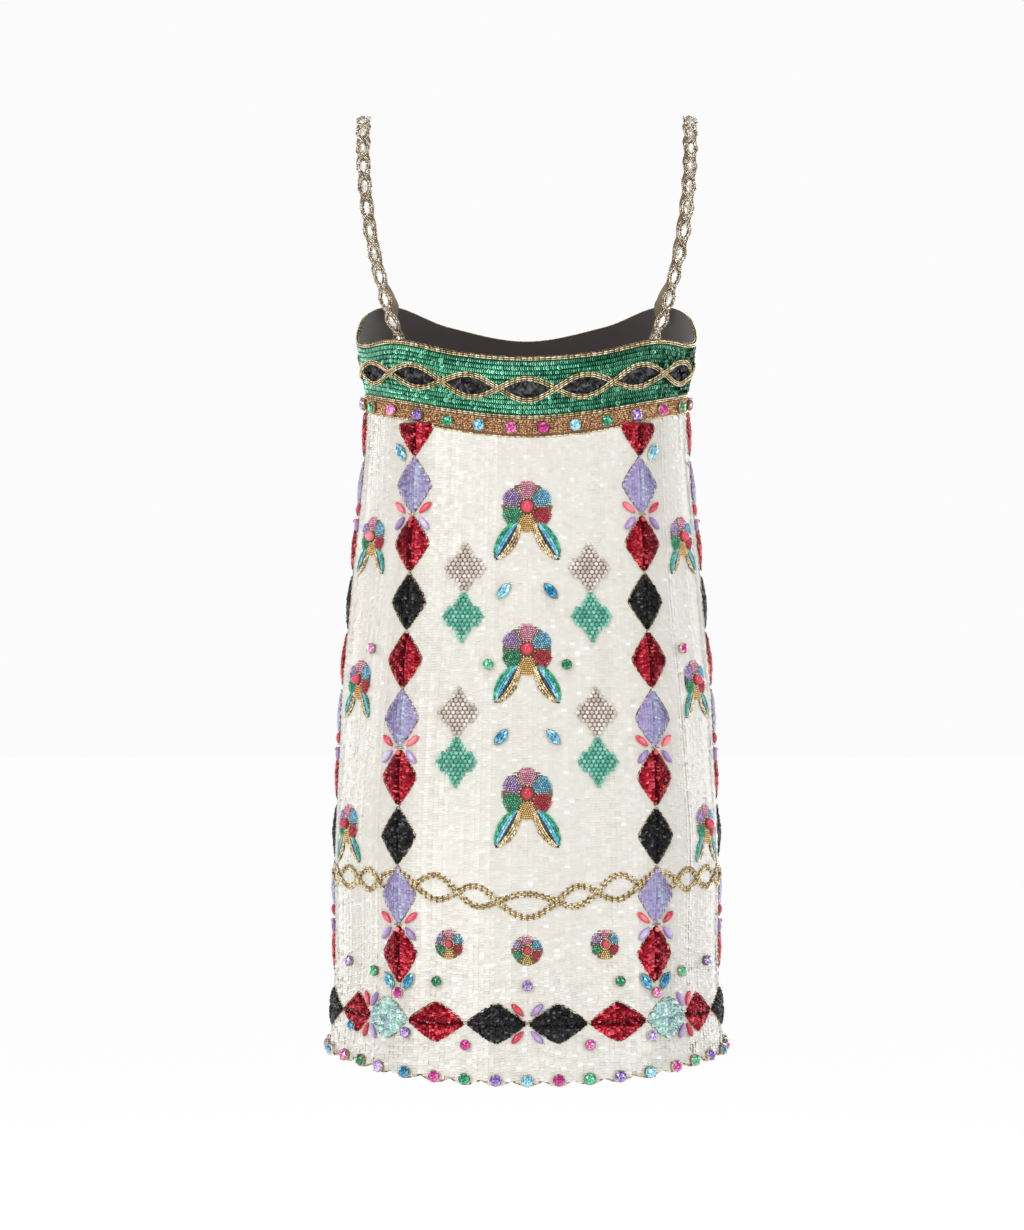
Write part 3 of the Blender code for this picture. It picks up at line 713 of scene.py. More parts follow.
class Beadwork:
    """Beads, sequins and stones that are sewn into one piece."""

    def __init__(self, name):
        self.name = name
        self.points, self.corners, self.sides, self.tones = [], [], [], []
        self.materials, self.smooth, self.finishes = [], [], []
        self.count = 0

    def sew(self, shape, centres, frames, size, finish, tones=None):
        """Adds one shape at each centre. size is one number, three, or three for each."""
        number = len(centres)
        if number == 0:
            return
        local = shape.points[None] * np.broadcast_to(np.asarray(size, float), (number, 3))[:, None, :]
        points = centres[:, None, :] + np.einsum("npk,nkc->npc", local, frames)
        offsets = self.count + np.arange(number)[:, None] * len(shape.points)
        if tones is None:
            tones = chance.random(number)
        if finish not in self.finishes:
            self.finishes.append(finish)
        self.points.append(points.reshape(-1, 3))
        self.corners.append((offsets + shape.corners[None]).ravel())
        self.sides.append(np.tile(shape.sides, number))
        # Each point's sewn shade: the bead's random shade with its painted highlights and painted shade
        # added.
        shades = np.repeat(tones, len(shape.points)) + np.tile(shape.tints, number)
        self.tones.append(np.clip(shades, 0, 1))
        faces = len(shape.sides) * number
        self.materials.append(np.full(faces, self.finishes.index(finish)))
        self.smooth.append(np.full(faces, shape.smooth))
        self.count += number * len(shape.points)

    def lay(self, shape, place, z, out, size, finish, tones=None, **leaning):
        """Sews one shape on at each place and height, out from the cloth and leaned as leaned says."""
        centres, frames = lie(place, z, out)
        self.sew(shape, centres, leaned(frames, **leaning), size, finish, tones)

    def finish(self, slot, replaces=()):
        mesh = bpy.data.meshes.new(self.name)
        corners, sides = np.concatenate(self.corners), np.concatenate(self.sides)
        mesh.vertices.add(self.count)
        mesh.vertices.foreach_set("co", np.concatenate(self.points).astype(np.float32).ravel())
        mesh.loops.add(len(corners))
        mesh.loops.foreach_set("vertex_index", corners.astype(np.int32))
        mesh.polygons.add(len(sides))
        mesh.polygons.foreach_set("loop_start", (np.cumsum(sides) - sides).astype(np.int32))
        mesh.polygons.foreach_set("material_index", np.concatenate(self.materials).astype(np.int32))
        mesh.polygons.foreach_set("use_smooth", np.concatenate(self.smooth))
        mesh.update(calc_edges=True)
        tone = mesh.attributes.new("tone", "FLOAT", "POINT")
        tone.data.foreach_set("value", np.concatenate(self.tones).astype(np.float32))
        for finish in self.finishes:
            mesh.materials.append(FINISHES[finish])
        return worn(bpy.data.objects.new(self.name, mesh), replaces)


def worn(piece, replaces=()):
    """Puts a piece on the dress."""
    bpy.context.scene.collection.objects.link(piece)
    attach(piece, BODY)
    if replaces:
        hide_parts(*replaces)
    return piece


chance = np.random.default_rng(11)


def spread(degrees, number):
    """Chance angles about 0."""
    return np.radians(chance.normal(0, degrees, number))


# ---------------------------------------------------------------- strings of beads
def string_steps(points, spacing):
    """Even steps along a run of close points: which points they lie between, and how far."""
    gaps = np.linalg.norm(np.diff(points, axis=0), axis=1)
    run = np.concatenate([[0], np.cumsum(gaps)])
    count = max(1, int(run[-1] / spacing))
    marks = (np.arange(count) + 0.5) * run[-1] / count
    i = np.clip(np.searchsorted(run, marks) - 1, 0, len(points) - 2)
    return i, (marks - run[i]) / np.maximum(gaps[i], 1e-9)


def strung(points, outwards, spacing, aside=0.0, lift=0.0):
    """Centres and frames (rows: along the string, across it, outward) at even steps along a string.

    aside moves the string sideways, and lift outward, by a number or one for each point.
    """
    along = unit(np.gradient(points, axis=0))
    across = unit(np.cross(outwards, along))
    aside, lift = (np.broadcast_to(v, len(points))[:, None] for v in (aside, lift))
    moved = points + across * aside + outwards * lift
    i, t = string_steps(moved, spacing)
    t = t[:, None]
    centres = moved[i] * (1 - t) + moved[i + 1] * t
    x = unit(moved[i + 1] - moved[i])
    z = outwards[i] * (1 - t) + outwards[i + 1] * t
    z = unit(z - x * np.sum(x * z, axis=1, keepdims=True))
    return centres, np.stack([x, np.cross(z, x), z], axis=1)


HALF_GIRTH = 0.46  # about a half's length along the hem
BUGLE_PITCH = 1.04  # of a bugle's length
FINE_BUGLE = 0.9 * MM


def level_run(half, step=2 * MM):
    """Places at close steps, over a half from one side seam to the other."""
    count = int(HALF_GIRTH / step)
    return half.seam + np.linspace(0, 1, count + 1)


def beaded_line(work, place, z, bead_size, finish, shape=BUGLE, lift=0.8 * MM, aside=0.0):
    """A string of beads on the cloth along places and heights."""
    points, frames = lie(place, z)
    centres, turned = strung(points, frames[:, 2], bead_size[0] * BUGLE_PITCH, aside, lift)
    work.sew(shape, centres, turned, bead_size, finish)


def fine_line(work, centres, frames, is_dark, length):
    """Fine bugles in gold, or in dark gold where is_dark."""
    size = (length, FINE_BUGLE, FINE_BUGLE)
    for finish, chosen in (("gold_bead", ~is_dark), ("dark_gold_bead", is_dark)):
        work.sew(THREAD_BUGLE, centres[chosen], frames[chosen], size, finish)


def crossing_lift(turn, twist, near_from, fade, over, under=0.0):
    """How far out one of two wound strands is near each crossing, and how far in where it's below.

    turn is the winding's phase, with a crossing at each whole turn of pi, and twist is the strand.
    """
    near = smooth((near_from - abs(np.sin(turn))) / fade)
    is_upper = (np.round(turn / math.pi) % 2 == 0) == (twist > 0)
    return np.where(is_upper, near * over, -near * under)


# ---------------------------------------------------------------- thin shells of cloth
def shell(name, outer, inner, outside, inside):
    """A closed thin shell between two grids of points, given row by row from the top."""
    rows, columns = outer.shape[0] - 1, outer.shape[1] - 1
    bm = bmesh.new()
    column_of = bm.verts.layers.int.new("column")
    row_of = bm.verts.layers.int.new("row")
    bmesh.ops.create_grid(bm, x_segments=columns, y_segments=rows, size=0.5)
    for vertex in bm.verts:
        vertex[column_of] = round((vertex.co.x + 0.5) * columns)
        vertex[row_of] = round((0.5 - vertex.co.y) * rows)
        vertex.co = outer[vertex[row_of], vertex[column_of]]
    grown = bmesh.ops.extrude_face_region(bm, geom=bm.faces[:], use_keep_orig=True)["geom"]
    for vertex in (g for g in grown if isinstance(g, bmesh.types.BMVert)):
        vertex.co = inner[vertex[row_of], vertex[column_of]]
    for face in (g for g in grown if isinstance(g, bmesh.types.BMFace)):
        face.material_index = 1
    bmesh.ops.recalc_face_normals(bm, faces=bm.faces[:])
    mesh = bpy.data.meshes.new(name)
    bm.to_mesh(mesh)
    bm.free()
    mesh.materials.append(FINISHES[outside])
    mesh.materials.append(FINISHES[inside])
    mesh.shade_smooth()
    mesh.set_sharp_from_angle(angle=math.radians(50))
    return bpy.data.objects.new(name, mesh)


WALL = 2.0 * MM
SEAM_GAP = 0.3 * MM
WAIST = -0.25


def body_cloth(part, half, heights, columns, rows, outside):
    """One sewn panel of the body, from the height of its top edge to that of its foot at each place."""
    node = f"{part}_{half.name}"
    half_gap = SEAM_GAP / 2 * places_per_metre(0.0, WAIST)
    places = half.seam + half_gap + (1 - 2 * half_gap) * np.linspace(0, 1, columns + 1)
    top, foot = heights(places)
    z = top + (foot - top) * np.linspace(0, 1, rows + 1)[:, None]
    place = np.broadcast_to(places, z.shape)
    piece = shell(f"{node}_cloth", cloth(place, z), cloth(place, z, -WALL), outside, "lining")
    worn(piece, [node])
    width, length, area = FLAT_CUTS[node]


# The pieces as they are cut: width, length and area in metres.
FLAT_CUTS = {
    "skirt_back": (0.470, 0.515, 0.2110),
    "skirt_front": (0.488, 0.520, 0.2320),
    "bust_band_back": (0.362, 0.068, 0.0172),
    "bust_band_front": (0.424, 0.077, 0.0240),
    "stone_strip_back": (0.362, 0.0145, 0.0052),
    "stone_strip_front": (0.421, 0.0145, 0.0061),
    "hem_trim_back": (0.471, 0.0170, 0.0075),
    "hem_trim_front": (0.488, 0.0170, 0.0077),
}

SCALLOP = 0.0040
SCALLOP_STEPS = 8
HEM_TRIM = 0.0160
STONE_COUNTS = {"strip": {"back": 14, "front": 16}, "hem": {"back": 19, "front": 20}}


def scalloped_foot(place):
    """The hem's lower edge, with a cusp between each stone and the next."""
    there = np.mod(np.asarray(place) + 0.5, 2)
    counts = STONE_COUNTS["hem"]
    share = np.where(there > 1, (there - 1) * counts["front"], there * counts["back"])
    return edge("hem", place) + SCALLOP * (1 - abs(np.sin(math.pi * share)))


def make_body_cloth():
    def skirt_edges(place):
        return edge("strip_foot", place) - SEAM_GAP, edge("hem", place) + HEM_TRIM + SEAM_GAP

    def band_edges(place):
        return edge("neck", place), edge("band_foot", place)

    def strip_edges(place):
        return edge("band_foot", place) - SEAM_GAP, edge("strip_foot", place)

    def trim_edges(place):
        return edge("hem", place) + HEM_TRIM, scalloped_foot(place)

    for half in HALVES:
        steps = SCALLOP_STEPS * STONE_COUNTS["hem"][half.name]
        body_cloth("skirt", half, skirt_edges, 120, 60, "ivory_cloth")
        body_cloth("bust_band", half, band_edges, 120, 12, "green_cloth")
        body_cloth("stone_strip", half, strip_edges, 120, 4, "copper_cloth")
        body_cloth("hem_trim", half, trim_edges, steps, 4, "ivory_cloth")


# ---------------------------------------------------------------- where each ornament lies
Column = namedtuple("Column", "top foot half_width")
COLUMNS = (
    Column(-0.745, -0.745, 0.0158),
    Column(-0.500, -0.500, 0.0148),
    Column(-0.2585, -0.2288, 0.0158),
    Column(0.2585, 0.2288, 0.0158),
    Column(0.500, 0.500, 0.0148),
    Column(0.745, 0.745, 0.0158),
)
COLUMN_LOZENGES = 9  # below the one that goes in under the strip
COLUMN_FIRST_TIP = -0.2806
COLUMN_FOOT = -0.7041
COLUMN_COLOURS = (
    *("crimson", "lilac", "crimson", "black", "crimson"),
    *("lilac", "crimson", "black", "lilac", "crimson"),
)
TIPS = np.linspace(COLUMN_FIRST_TIP, COLUMN_FOOT, COLUMN_LOZENGES + 1)
HALF_LENGTH = (TIPS[0] - TIPS[1]) / 2
ROW_TIPS = (0.0, 0.106, 0.211, 0.296, 0.386, 0.5)  # places from a centre line to a side seam
ROW_HEIGHT = -0.7285
ROW_DIP = 0.35
ROW_HALF_HEIGHT = 0.0158
ROW_COLOURS = ("black", "crimson", "mint", "crimson", "black")
FULLNESS = 1.25  # 1 gives a lozenge straight sides, and more gives it fuller ones
MINT_FULLNESS = 1.9

# A flower head's place, height and radius, and how far its leaves reach, or 0 for a blossom.
Flower = namedtuple("Flower", "place height head leaf")
CENTRE_FLOWERS = [Flower(0.0, z, 0.0205, 0.050) for z in (-0.322, -0.437, -0.552)]
SIDE_FLOWERS = [Flower(0.378, z, 0.0160, 0.036) for z in (-0.345, -0.462, -0.579)]
BLOSSOMS = [
    Flower(place, z, 0.0125, 0.0) for place, z in ((-0.137, -0.6720), (0.0, -0.6765), (0.137, -0.6720))
]
LEAF_TURN = math.radians(150)
PEARL_PLACE = 0.130
PEARL_TIPS = ((-0.352, -0.391, -0.430), (-0.468, -0.507, -0.546))
PEARL_HALF_WIDTH = 0.0175


def beside(half, sign, place):
    """The place to the left (-1) or right (1) of a half's centre line."""
    return sign * (1 - place if half.is_front else place)


def all_flowers():
    """Each flower's and blossom's node, and its row with its own place."""
    for half in HALVES:
        for k, row in enumerate(CENTRE_FLOWERS, 1):
            yield f"flower_{half.name}_{k}", row._replace(place=half.centre)
        for k, row in enumerate(BLOSSOMS, 1):
            yield f"blossom_{half.name}_{k}", row._replace(place=half.centre + row.place)
        for side, sign in SIDES:
            for k, row in enumerate(SIDE_FLOWERS, 1):
                place = beside(half, sign, row.place)
                yield f"flower_{half.name}_{side}_{k}", row._replace(place=place)


def all_pearl_chains():
    """Each pearl chain's node, its place and its lozenges' tips."""
    for half in HALVES:
        for side, sign in SIDES:
            for k, tips in enumerate(PEARL_TIPS, 1):
                yield f"pearls_{half.name}_{side}_{k}", beside(half, sign, PEARL_PLACE), tips


def column_line(column, z):
    """A column's place at heights."""
    down = (np.asarray(z) - COLUMN_FIRST_TIP) / (COLUMN_FOOT - COLUMN_FIRST_TIP)
    return column.top + (column.foot - column.top) * np.maximum(down, 0.0)


def row_middle(place):
    """The height of the lying lozenges' middle line."""
    return ROW_HEIGHT + ROW_DIP * (edge("hem", place) - edge("hem", 0.5))


def row_share(place):
    """How far places are through the lying lozenge there, from -1 at one tip to 1 at the other."""
    out = 0.5 - abs(abs(wrapped(place)) - 0.5)
    tips = np.array(ROW_TIPS)
    k = np.clip(np.searchsorted(tips, out, side="right") - 1, 0, len(tips) - 2)
    return 2 * (out - tips[k]) / (tips[k + 1] - tips[k]) - 1


def across_of(place, z, middle):
    """How many metres along the cloth places are from a middle one."""
    return wrapped(place - middle) / places_per_metre(place, z)


HIDDEN_MARGIN = 1.2 * MM


def is_under(place, z):
    """Whether a raised ornament covers the ground at places and heights."""
    hidden = np.zeros(place.shape, bool)
    into = 2 * ((TIPS[0] - z) / (2 * HALF_LENGTH) % 1) - 1
    for column in COLUMNS:
        half = column.half_width * (1 - abs(into) ** FULLNESS)
        hidden |= (abs(across_of(place, z, column_line(column, z))) < half - HIDDEN_MARGIN) & (z > TIPS[-1])
    half = ROW_HALF_HEIGHT * (1 - abs(row_share(place)) ** FULLNESS)
    hidden |= abs(z - row_middle(place)) < half - HIDDEN_MARGIN
    for _, row in all_flowers():
        across = across_of(place, z, row.place)
        hidden |= np.hypot(across, z - row.height) < row.head - HIDDEN_MARGIN
        for side in (-1, 1) if row.leaf else ():
            t, aside = leaf_spot(across, z - row.height, row, side)
            hidden |= (t > 0) & (t < 1) & (abs(aside) < leaf_half(t, row) - 0.5 * HIDDEN_MARGIN)
    for _, middle, tips in all_pearl_chains():
        for upper, lower in zip(tips, tips[1:]):
            share = 1 - abs(z - (upper + lower) / 2) / ((upper - lower) / 2)
            hidden |= abs(across_of(place, z, middle)) < PEARL_HALF_WIDTH * share - HIDDEN_MARGIN
    return hidden


LEAF_FROM = 0.62  # share of the head's radius at which a leaf starts


def leaf_half(t, row):
    """A leaf's half width at t of the way from its foot to its tip."""
    return 0.155 * row.leaf * np.sin(math.pi * np.clip(t, 0, 1)) ** 0.75


def leaf_spot(across, up, row, side):
    """How far along and beside a leaf spots round a flower lie."""
    x, y = side * math.sin(LEAF_TURN), math.cos(LEAF_TURN)
    start = LEAF_FROM * row.head
    return (across * x + up * y - start) / (row.leaf - start), across * y - up * x


# ---------------------------------------------------------------- the ivory ground
GROUND_COLUMNS = 212
GROUND_PITCH = 2.15 * MM
CORNER_ON = math.radians(45)
OVERLAP_LEAN = math.radians(12)
GROUND_SHARES = np.array([1.04, 1.04, 0.5])  # of the strings' spacing, across a square sequin's sides
# Painted glint spots: a share of the ground's sequins is painted at its palest.
PAINTED_GLINTS = 0.001  # the share of bright sequins where they lie a degree loose


def ground_string(work, place):
    """One upright string of sequins, from the strip's foot to the hem, looser towards the hem."""
    top = float(edge("strip_foot", place)) - 1.6 * MM
    foot = float(scalloped_foot(place)) + 1.4 * MM
    count = int((top - foot) / GROUND_PITCH)
    z = top - (np.arange(count) + chance.random()) * GROUND_PITCH
    z = z[z > foot]
    z = z[~is_under(np.full(len(z), place), z)]
    here = np.full(len(z), place)
    number = len(z)
    width = 2 / GROUND_COLUMNS / places_per_metre(here, z)
    centres, frames = lie(here, z, 0.75 * MM)
    loose = 3.0 + 3.5 * smooth((-0.60 - z) / 0.15)
    string_roll = math.radians(chance.normal(0, 3.0))
    lean = OVERLAP_LEAN + loose * spread(1, number)
    roll = string_roll + 0.8 * loose * spread(1, number)
    turned = leaned(leaned(frames, lean=lean, roll=roll), turn=CORNER_ON)
    size = math.sqrt(2) * width[:, None] * GROUND_SHARES
    tones = np.clip(chance.normal(0.48, 0.10, number) + 0.03 * chance.normal(), 0, 1)
    # A few sequins painted at their palest, as painted glint spots, more of them where the sequins lie
    # looser.
    tones[chance.random(number) < PAINTED_GLINTS * loose**2] = 1.0
    work.sew(GROUND_SEQUIN, centres, turned, size, "ivory_sequin", tones)


def ground_sequins():
    """Ivory sequins in upright strings, each lying over the next one down."""
    quarters = {}
    for k in range(GROUND_COLUMNS):
        place = wrapped((k + 0.5) * 2 / GROUND_COLUMNS)
        half = "front" if abs(place) > 0.5 else "back"
        quarters.setdefault((half, "left" if place < 0 else "right"), []).append(place)
    for (half, side), places in quarters.items():
        work = Beadwork(f"skirt_{half}_sequins_{side}")
        for place in places:
            ground_string(work, place)
        work.finish("ivory_sequins")


# ---------------------------------------------------------------- the bust band
BRAID_EYES = 17
BRAID_BACK_EYES = 7.86
BRAID_MIDDLE = 0.523
BRAID_SWING = 0.0089
BRAID_OVER = 1.7 * MM
BRAID_ROOM = 0.6 * MM
BAND_ROWS = 14  # at most, above the braid or below it
BAND_ROW = 3.75 * MM
BAND_SIZE = (4.3 * MM, 3.8 * MM, 4.1 * MM)
EDGE_BEADS = 3.4 * MM
EYE_HALF_STEP = 0.00225
BUGLE_SIZE = (4.6 * MM, 1.15 * MM, 1.25 * MM)
NECK_SEED = (2.2 * MM, 1.2 * MM, 1.2 * MM)
# Each row of bugles: the edge that it follows, and how far it lies below it.
GOLD_EDGES = (
    ("neck", 0.6 * MM),
    ("neck", 2.1 * MM),
    ("band_foot", -1.9 * MM),
    ("band_foot", -0.4 * MM),
    ("strip_foot", 0.4 * MM),
)


def braid_middle(place):
    return edge("neck", place) * (1 - BRAID_MIDDLE) + edge("band_foot", place) * BRAID_MIDDLE


def braid_turn(place):
    """The braid's phase at places from -0.5 to 1.5: a crossing at each whole turn of pi."""
    front = np.maximum(place - 0.5, 0.0)
    return math.pi * (0.5 + BRAID_BACK_EYES * (place - front) + (BRAID_EYES - BRAID_BACK_EYES) * front)


def band_row(work, half, k, place, z):
    """A level row of green cup sequins, rolled most at the centre line, with a painted sheen in slow waves
    and a few painted glint spots.
    """
    number = len(place)
    rolled = np.radians(15 * (1 - 2 * abs(wrapped(place - half.centre))))
    lean, turn, roll = spread(4, number), spread(4, number), rolled + spread(5, number)
    # Painted sheen: slow waves of paler sequins along the rows.
    sheen = 0.5 + 0.5 * np.sin(2 * math.pi * (3 * place + 0.19 * k) + 0.9)
    tones = np.clip(0.08 + 0.36 * sheen + chance.normal(0, 0.13, number), 0, 1)
    # A few sequins painted pale, as painted glint spots.
    tones[chance.random(number) < 0.05] = 0.9
    leaning = {"lean": lean, "turn": turn, "roll": roll}
    work.lay(BAND_SEQUIN, place, z, 0.9 * MM, BAND_SIZE, "green_sequin", tones, **leaning)


def band_sequins(half):
    """Level rows from the neck down and from the band's foot up, as far as the braid."""
    work = Beadwork(f"bust_band_{half.name}_sequins")
    places = level_run(half, 2.3 * MM)
    room = BRAID_SWING * abs(np.sin(braid_turn(places))) + BRAID_ROOM
    middle = braid_middle(places)
    for name, inwards in (("neck", -1), ("band_foot", 1)):
        for k in range(BAND_ROWS):
            z = edge(name, places) + inwards * (EDGE_BEADS + (k + 0.5) * BAND_ROW)
            shows = inwards * (middle - z) > room
            if shows.any():
                band_row(work, half, k, places[shows] + 0.002 * chance.random(), z[shows])
    work.finish("green_sequins")


def braid_eyes(half):
    """Black sequins in the braid's eyes, every second row set over by half a step."""
    work = Beadwork(f"braid_eyes_{half.name}")
    places = level_run(half, 2.1 * MM)
    inside = BRAID_SWING * abs(np.sin(braid_turn(places))) - 1.2 * MM
    middle = braid_middle(places)
    for k in range(-4, 5):
        offset = k * 2.2 * MM
        shows = abs(offset) < inside
        here, z = places[shows] + (k % 2) * EYE_HALF_STEP, middle[shows] + offset
        number = len(here)
        lean = spread(16, number)
        turn = np.radians(chance.uniform(0, 360, number))
        leaning = {"lean": lean, "turn": turn, "roll": spread(16, number)}
        work.lay(FINE_SEQUIN, here, z, 0.9 * MM, 3.3 * MM, "black_sequin", **leaning)
    work.finish("green_sequins")


def braid(half):
    """Two strands of three rows of gold bugles, which pass over each other in turn."""
    work = Beadwork(f"braid_{half.name}")
    place = level_run(half, 1 * MM)
    turn = braid_turn(place)
    for twist in (1, -1):
        z = braid_middle(place) + twist * BRAID_SWING * np.sin(turn)
        lift = crossing_lift(turn, twist, 0.75, 0.35, BRAID_OVER) + 1.4 * MM
        for row in (-1, 0, 1):
            out = lift + (0.35 * MM if row == 0 else 0.0)
            beaded_line(work, place, z, BUGLE_SIZE, "gold_bead", lift=out, aside=row * 1.55 * MM)
    work.finish("gold_beads", [f"braid_{half.name}_a", f"braid_{half.name}_b"])


def gold_edges(half):
    """Rows of gold bugles along the neck, the band's foot and the strip's foot."""
    work = Beadwork(f"gold_edges_{half.name}")
    place = level_run(half)
    for column, below in GOLD_EDGES:
        beaded_line(work, place, edge(column, place) - below, BUGLE_SIZE, "gold_bead", lift=1.0 * MM)
    z = edge("neck", place) + 0.5 * MM
    beaded_line(work, place, z, NECK_SEED, "dark_gold_bead", lift=-0.9 * MM)
    work.finish("gold_beads")


# ---------------------------------------------------------------- the strip of beads and stones
STONE = 0.0098
STONE_LIFT = 1.0 * MM
STRIP_ORDER = ("pink", "blue", "green", "violet", "pink", "green", "violet", "pink")
STRIP_BEAD = (2.0 * MM, 1.3 * MM, 1.3 * MM)


def strip_beads(half):
    """Copper beads couched in every direction."""
    work = Beadwork(f"stone_strip_{half.name}_beads")
    places = level_run(half, 1.55 * MM)
    number = len(places)
    for k in range(7):
        here = places + chance.normal(0, 0.0009, number)
        below = (1.6 + 1.65 * k) * MM
        z = edge("band_foot", places) - below + chance.normal(0, 0.25 * MM, number)
        out = 0.85 * MM + chance.normal(0, 0.2 * MM, number)
        turn = chance.uniform(0, math.pi, number)
        work.lay(SEED, here, z, out, STRIP_BEAD, "copper_bead", turn=turn)
    work.finish("bronze_beads")


def set_stones(work, place, z, colours, size=STONE):
    """Round stones in their settings."""
    centres, frames = lie(place, z, STONE_LIFT + 0.3 * size)
    frames = leaned(frames, turn=chance.normal(0, 0.2, len(frames)))
    work.sew(ROUND_CUP, centres, frames, size, "setting")
    for colour in sorted(set(colours)):
        for k in (n for n, c in enumerate(colours) if c == colour):
            work.sew(ROUND_STONE, centres[k : k + 1], frames[k : k + 1], size * 0.98, f"{colour}_stone")


def stone_places(half, along):
    """How many stones lie along a half's strip or hem, and where."""
    count = STONE_COUNTS[along][half.name]
    return count, half.seam + (np.arange(count) + 0.5) / count


def strip_stones(half):
    work = Beadwork(f"strip_stones_{half.name}")
    count, place = stone_places(half, "strip")
    colours = [STRIP_ORDER[int(abs(k + 0.5 - count / 2))] for k in range(count)]
    z = (edge("band_foot", place) + edge("strip_foot", place)) / 2 - 0.4 * MM
    set_stones(work, place, z, colours)
    work.finish("bronze_beads")


HEM_STONE_FOOT = 5.0 * MM
HEM_ORDER = ("blue", "pink", "green", "violet")


def hem_stones(half):
    work = Beadwork(f"hem_stones_{half.name}")
    count, place = stone_places(half, "hem")
    colours = [HEM_ORDER[(k - count // 2) % 4] for k in range(count)]
    set_stones(work, place, edge("hem", place) + HEM_STONE_FOOT, colours)
    work.finish("ivory_sequins")


def hem_edging(half):
    """A fine line of gold and dark beads along the scallops."""
    work = Beadwork(f"hem_edging_{half.name}")
    place = level_run(half, 0.8 * MM)
    points, frames = lie(place, scalloped_foot(place) + 0.5 * MM)
    centres, turned = strung(points, frames[:, 2], 2.6 * MM, lift=0.4 * MM)
    fine_line(work, centres, turned, np.arange(len(centres)) % 4 == 3, 2.4 * MM)
    work.finish("ivory_sequins")


# ---------------------------------------------------------------- lozenges
LOZENGE_RISE = 3.3 * MM
LOZENGE_FOOT = 0.9 * MM
GROOVE = 0.42
GROOVE_WIDTH = 0.11
PAD_STEPS = 14
# A lozenge: the middle place at each height, how its height follows the row at each place, its own
# height, half sizes and colour, and how full its sides are.
Lozenge = namedtuple("Lozenge", "line sag height half_across half_up colour fullness")
# A lozenge's sequins: their pitch and step, how loose they lie, and the share painted at their palest as
# painted glint spots.
SequinLook = namedtuple("SequinLook", "pitch step loose glints")
SEQUIN_LOOKS = {
    "crimson": SequinLook(2.5 * MM, 1.5 * MM, 8, 0.10),
    "black": SequinLook(2.3 * MM, 1.6 * MM, 12, 0.07),
    "lilac": SequinLook(2.3 * MM, 1.45 * MM, 5, 0.0),
    "mint": SequinLook(2.7 * MM, 2.1 * MM, 15, 0.12),
}


def is_upright(lozenge):
    return lozenge.half_up > lozenge.half_across


def lozenge_spot(lozenge, across, up):
    """The place and height of spots across and up from a lozenge's middle, in metres."""
    z = lozenge.height + up
    middle = lozenge.line(z)
    place = middle + across * places_per_metre(middle, z)
    return place, z + lozenge.sag(place)


def room_left(lozenge, u, v):
    """How far inside the outline shares u across and v up of the half sizes are, 0 at the outline."""
    short, long = (u, v) if is_upright(lozenge) else (v, u)
    return np.clip(1 - abs(short) - abs(long) ** lozenge.fullness, 0, 1)


def puff(lozenge, u, v):
    """How high a lozenge stands, of its full height: two lobes with a groove along it between them."""
    short = u if is_upright(lozenge) else v
    return room_left(lozenge, u, v) ** 0.45 * (1 - GROOVE * np.exp(-((short / GROOVE_WIDTH) ** 2)))


def grid_faces(rows, columns):
    """The four-sided faces between points that are given row by row."""
    first = (np.arange(rows)[:, None] * (columns + 1) + np.arange(columns)).ravel()
    return np.stack([first, first + 1, first + columns + 2, first + columns + 1], axis=1)


def lozenge_pad(work, lozenge, top=math.inf):
    """The padded cloth under a lozenge's sequins, cut off at a height where it goes under the strip."""
    steps = np.linspace(-1, 1, PAD_STEPS + 1)
    s, t = (a.ravel() for a in np.meshgrid(steps, steps))
    short, long = (s + t) / 2, (s - t) / 2
    long = np.sign(long) * abs(long) ** (1 / lozenge.fullness)
    u, v = (short, long) if is_upright(lozenge) else (long, short)
    place, z = lozenge_spot(lozenge, u * lozenge.half_across, v * lozenge.half_up)
    faces = grid_faces(PAD_STEPS, PAD_STEPS)
    faces = faces[(z[faces] < top - 0.1 * MM).any(axis=1)]
    out = LOZENGE_FOOT + LOZENGE_RISE * puff(lozenge, u, v)
    out = np.where(room_left(lozenge, u, v) < 0.001, 0.3 * MM, out)
    sew_patch(work, place, np.minimum(z, top), out, faces, f"{lozenge.colour}_cloth")


def sew_patch(work, place, z, out, faces, finish):
    """A sheet of four-sided faces over places and heights, out from the cloth."""
    points, frames = lie(place, z)
    used = np.unique(faces)
    faces = np.searchsorted(used, faces)
    raised = (points + frames[:, 2] * np.broadcast_to(out, len(points))[:, None])[used]
    a, b, c = (raised[faces[0, k]] for k in range(3))
    if np.dot(np.cross(b - a, c - a), frames[used[faces[0, 0]], 2]) < 0:
        faces = faces[:, ::-1]
    shape = Bead(raised, faces.ravel(), np.full(len(faces), 4), True, np.zeros(len(raised)))
    work.sew(shape, np.zeros((1, 3)), np.eye(3)[None], 1.0, finish, tones=np.array([0.5]))


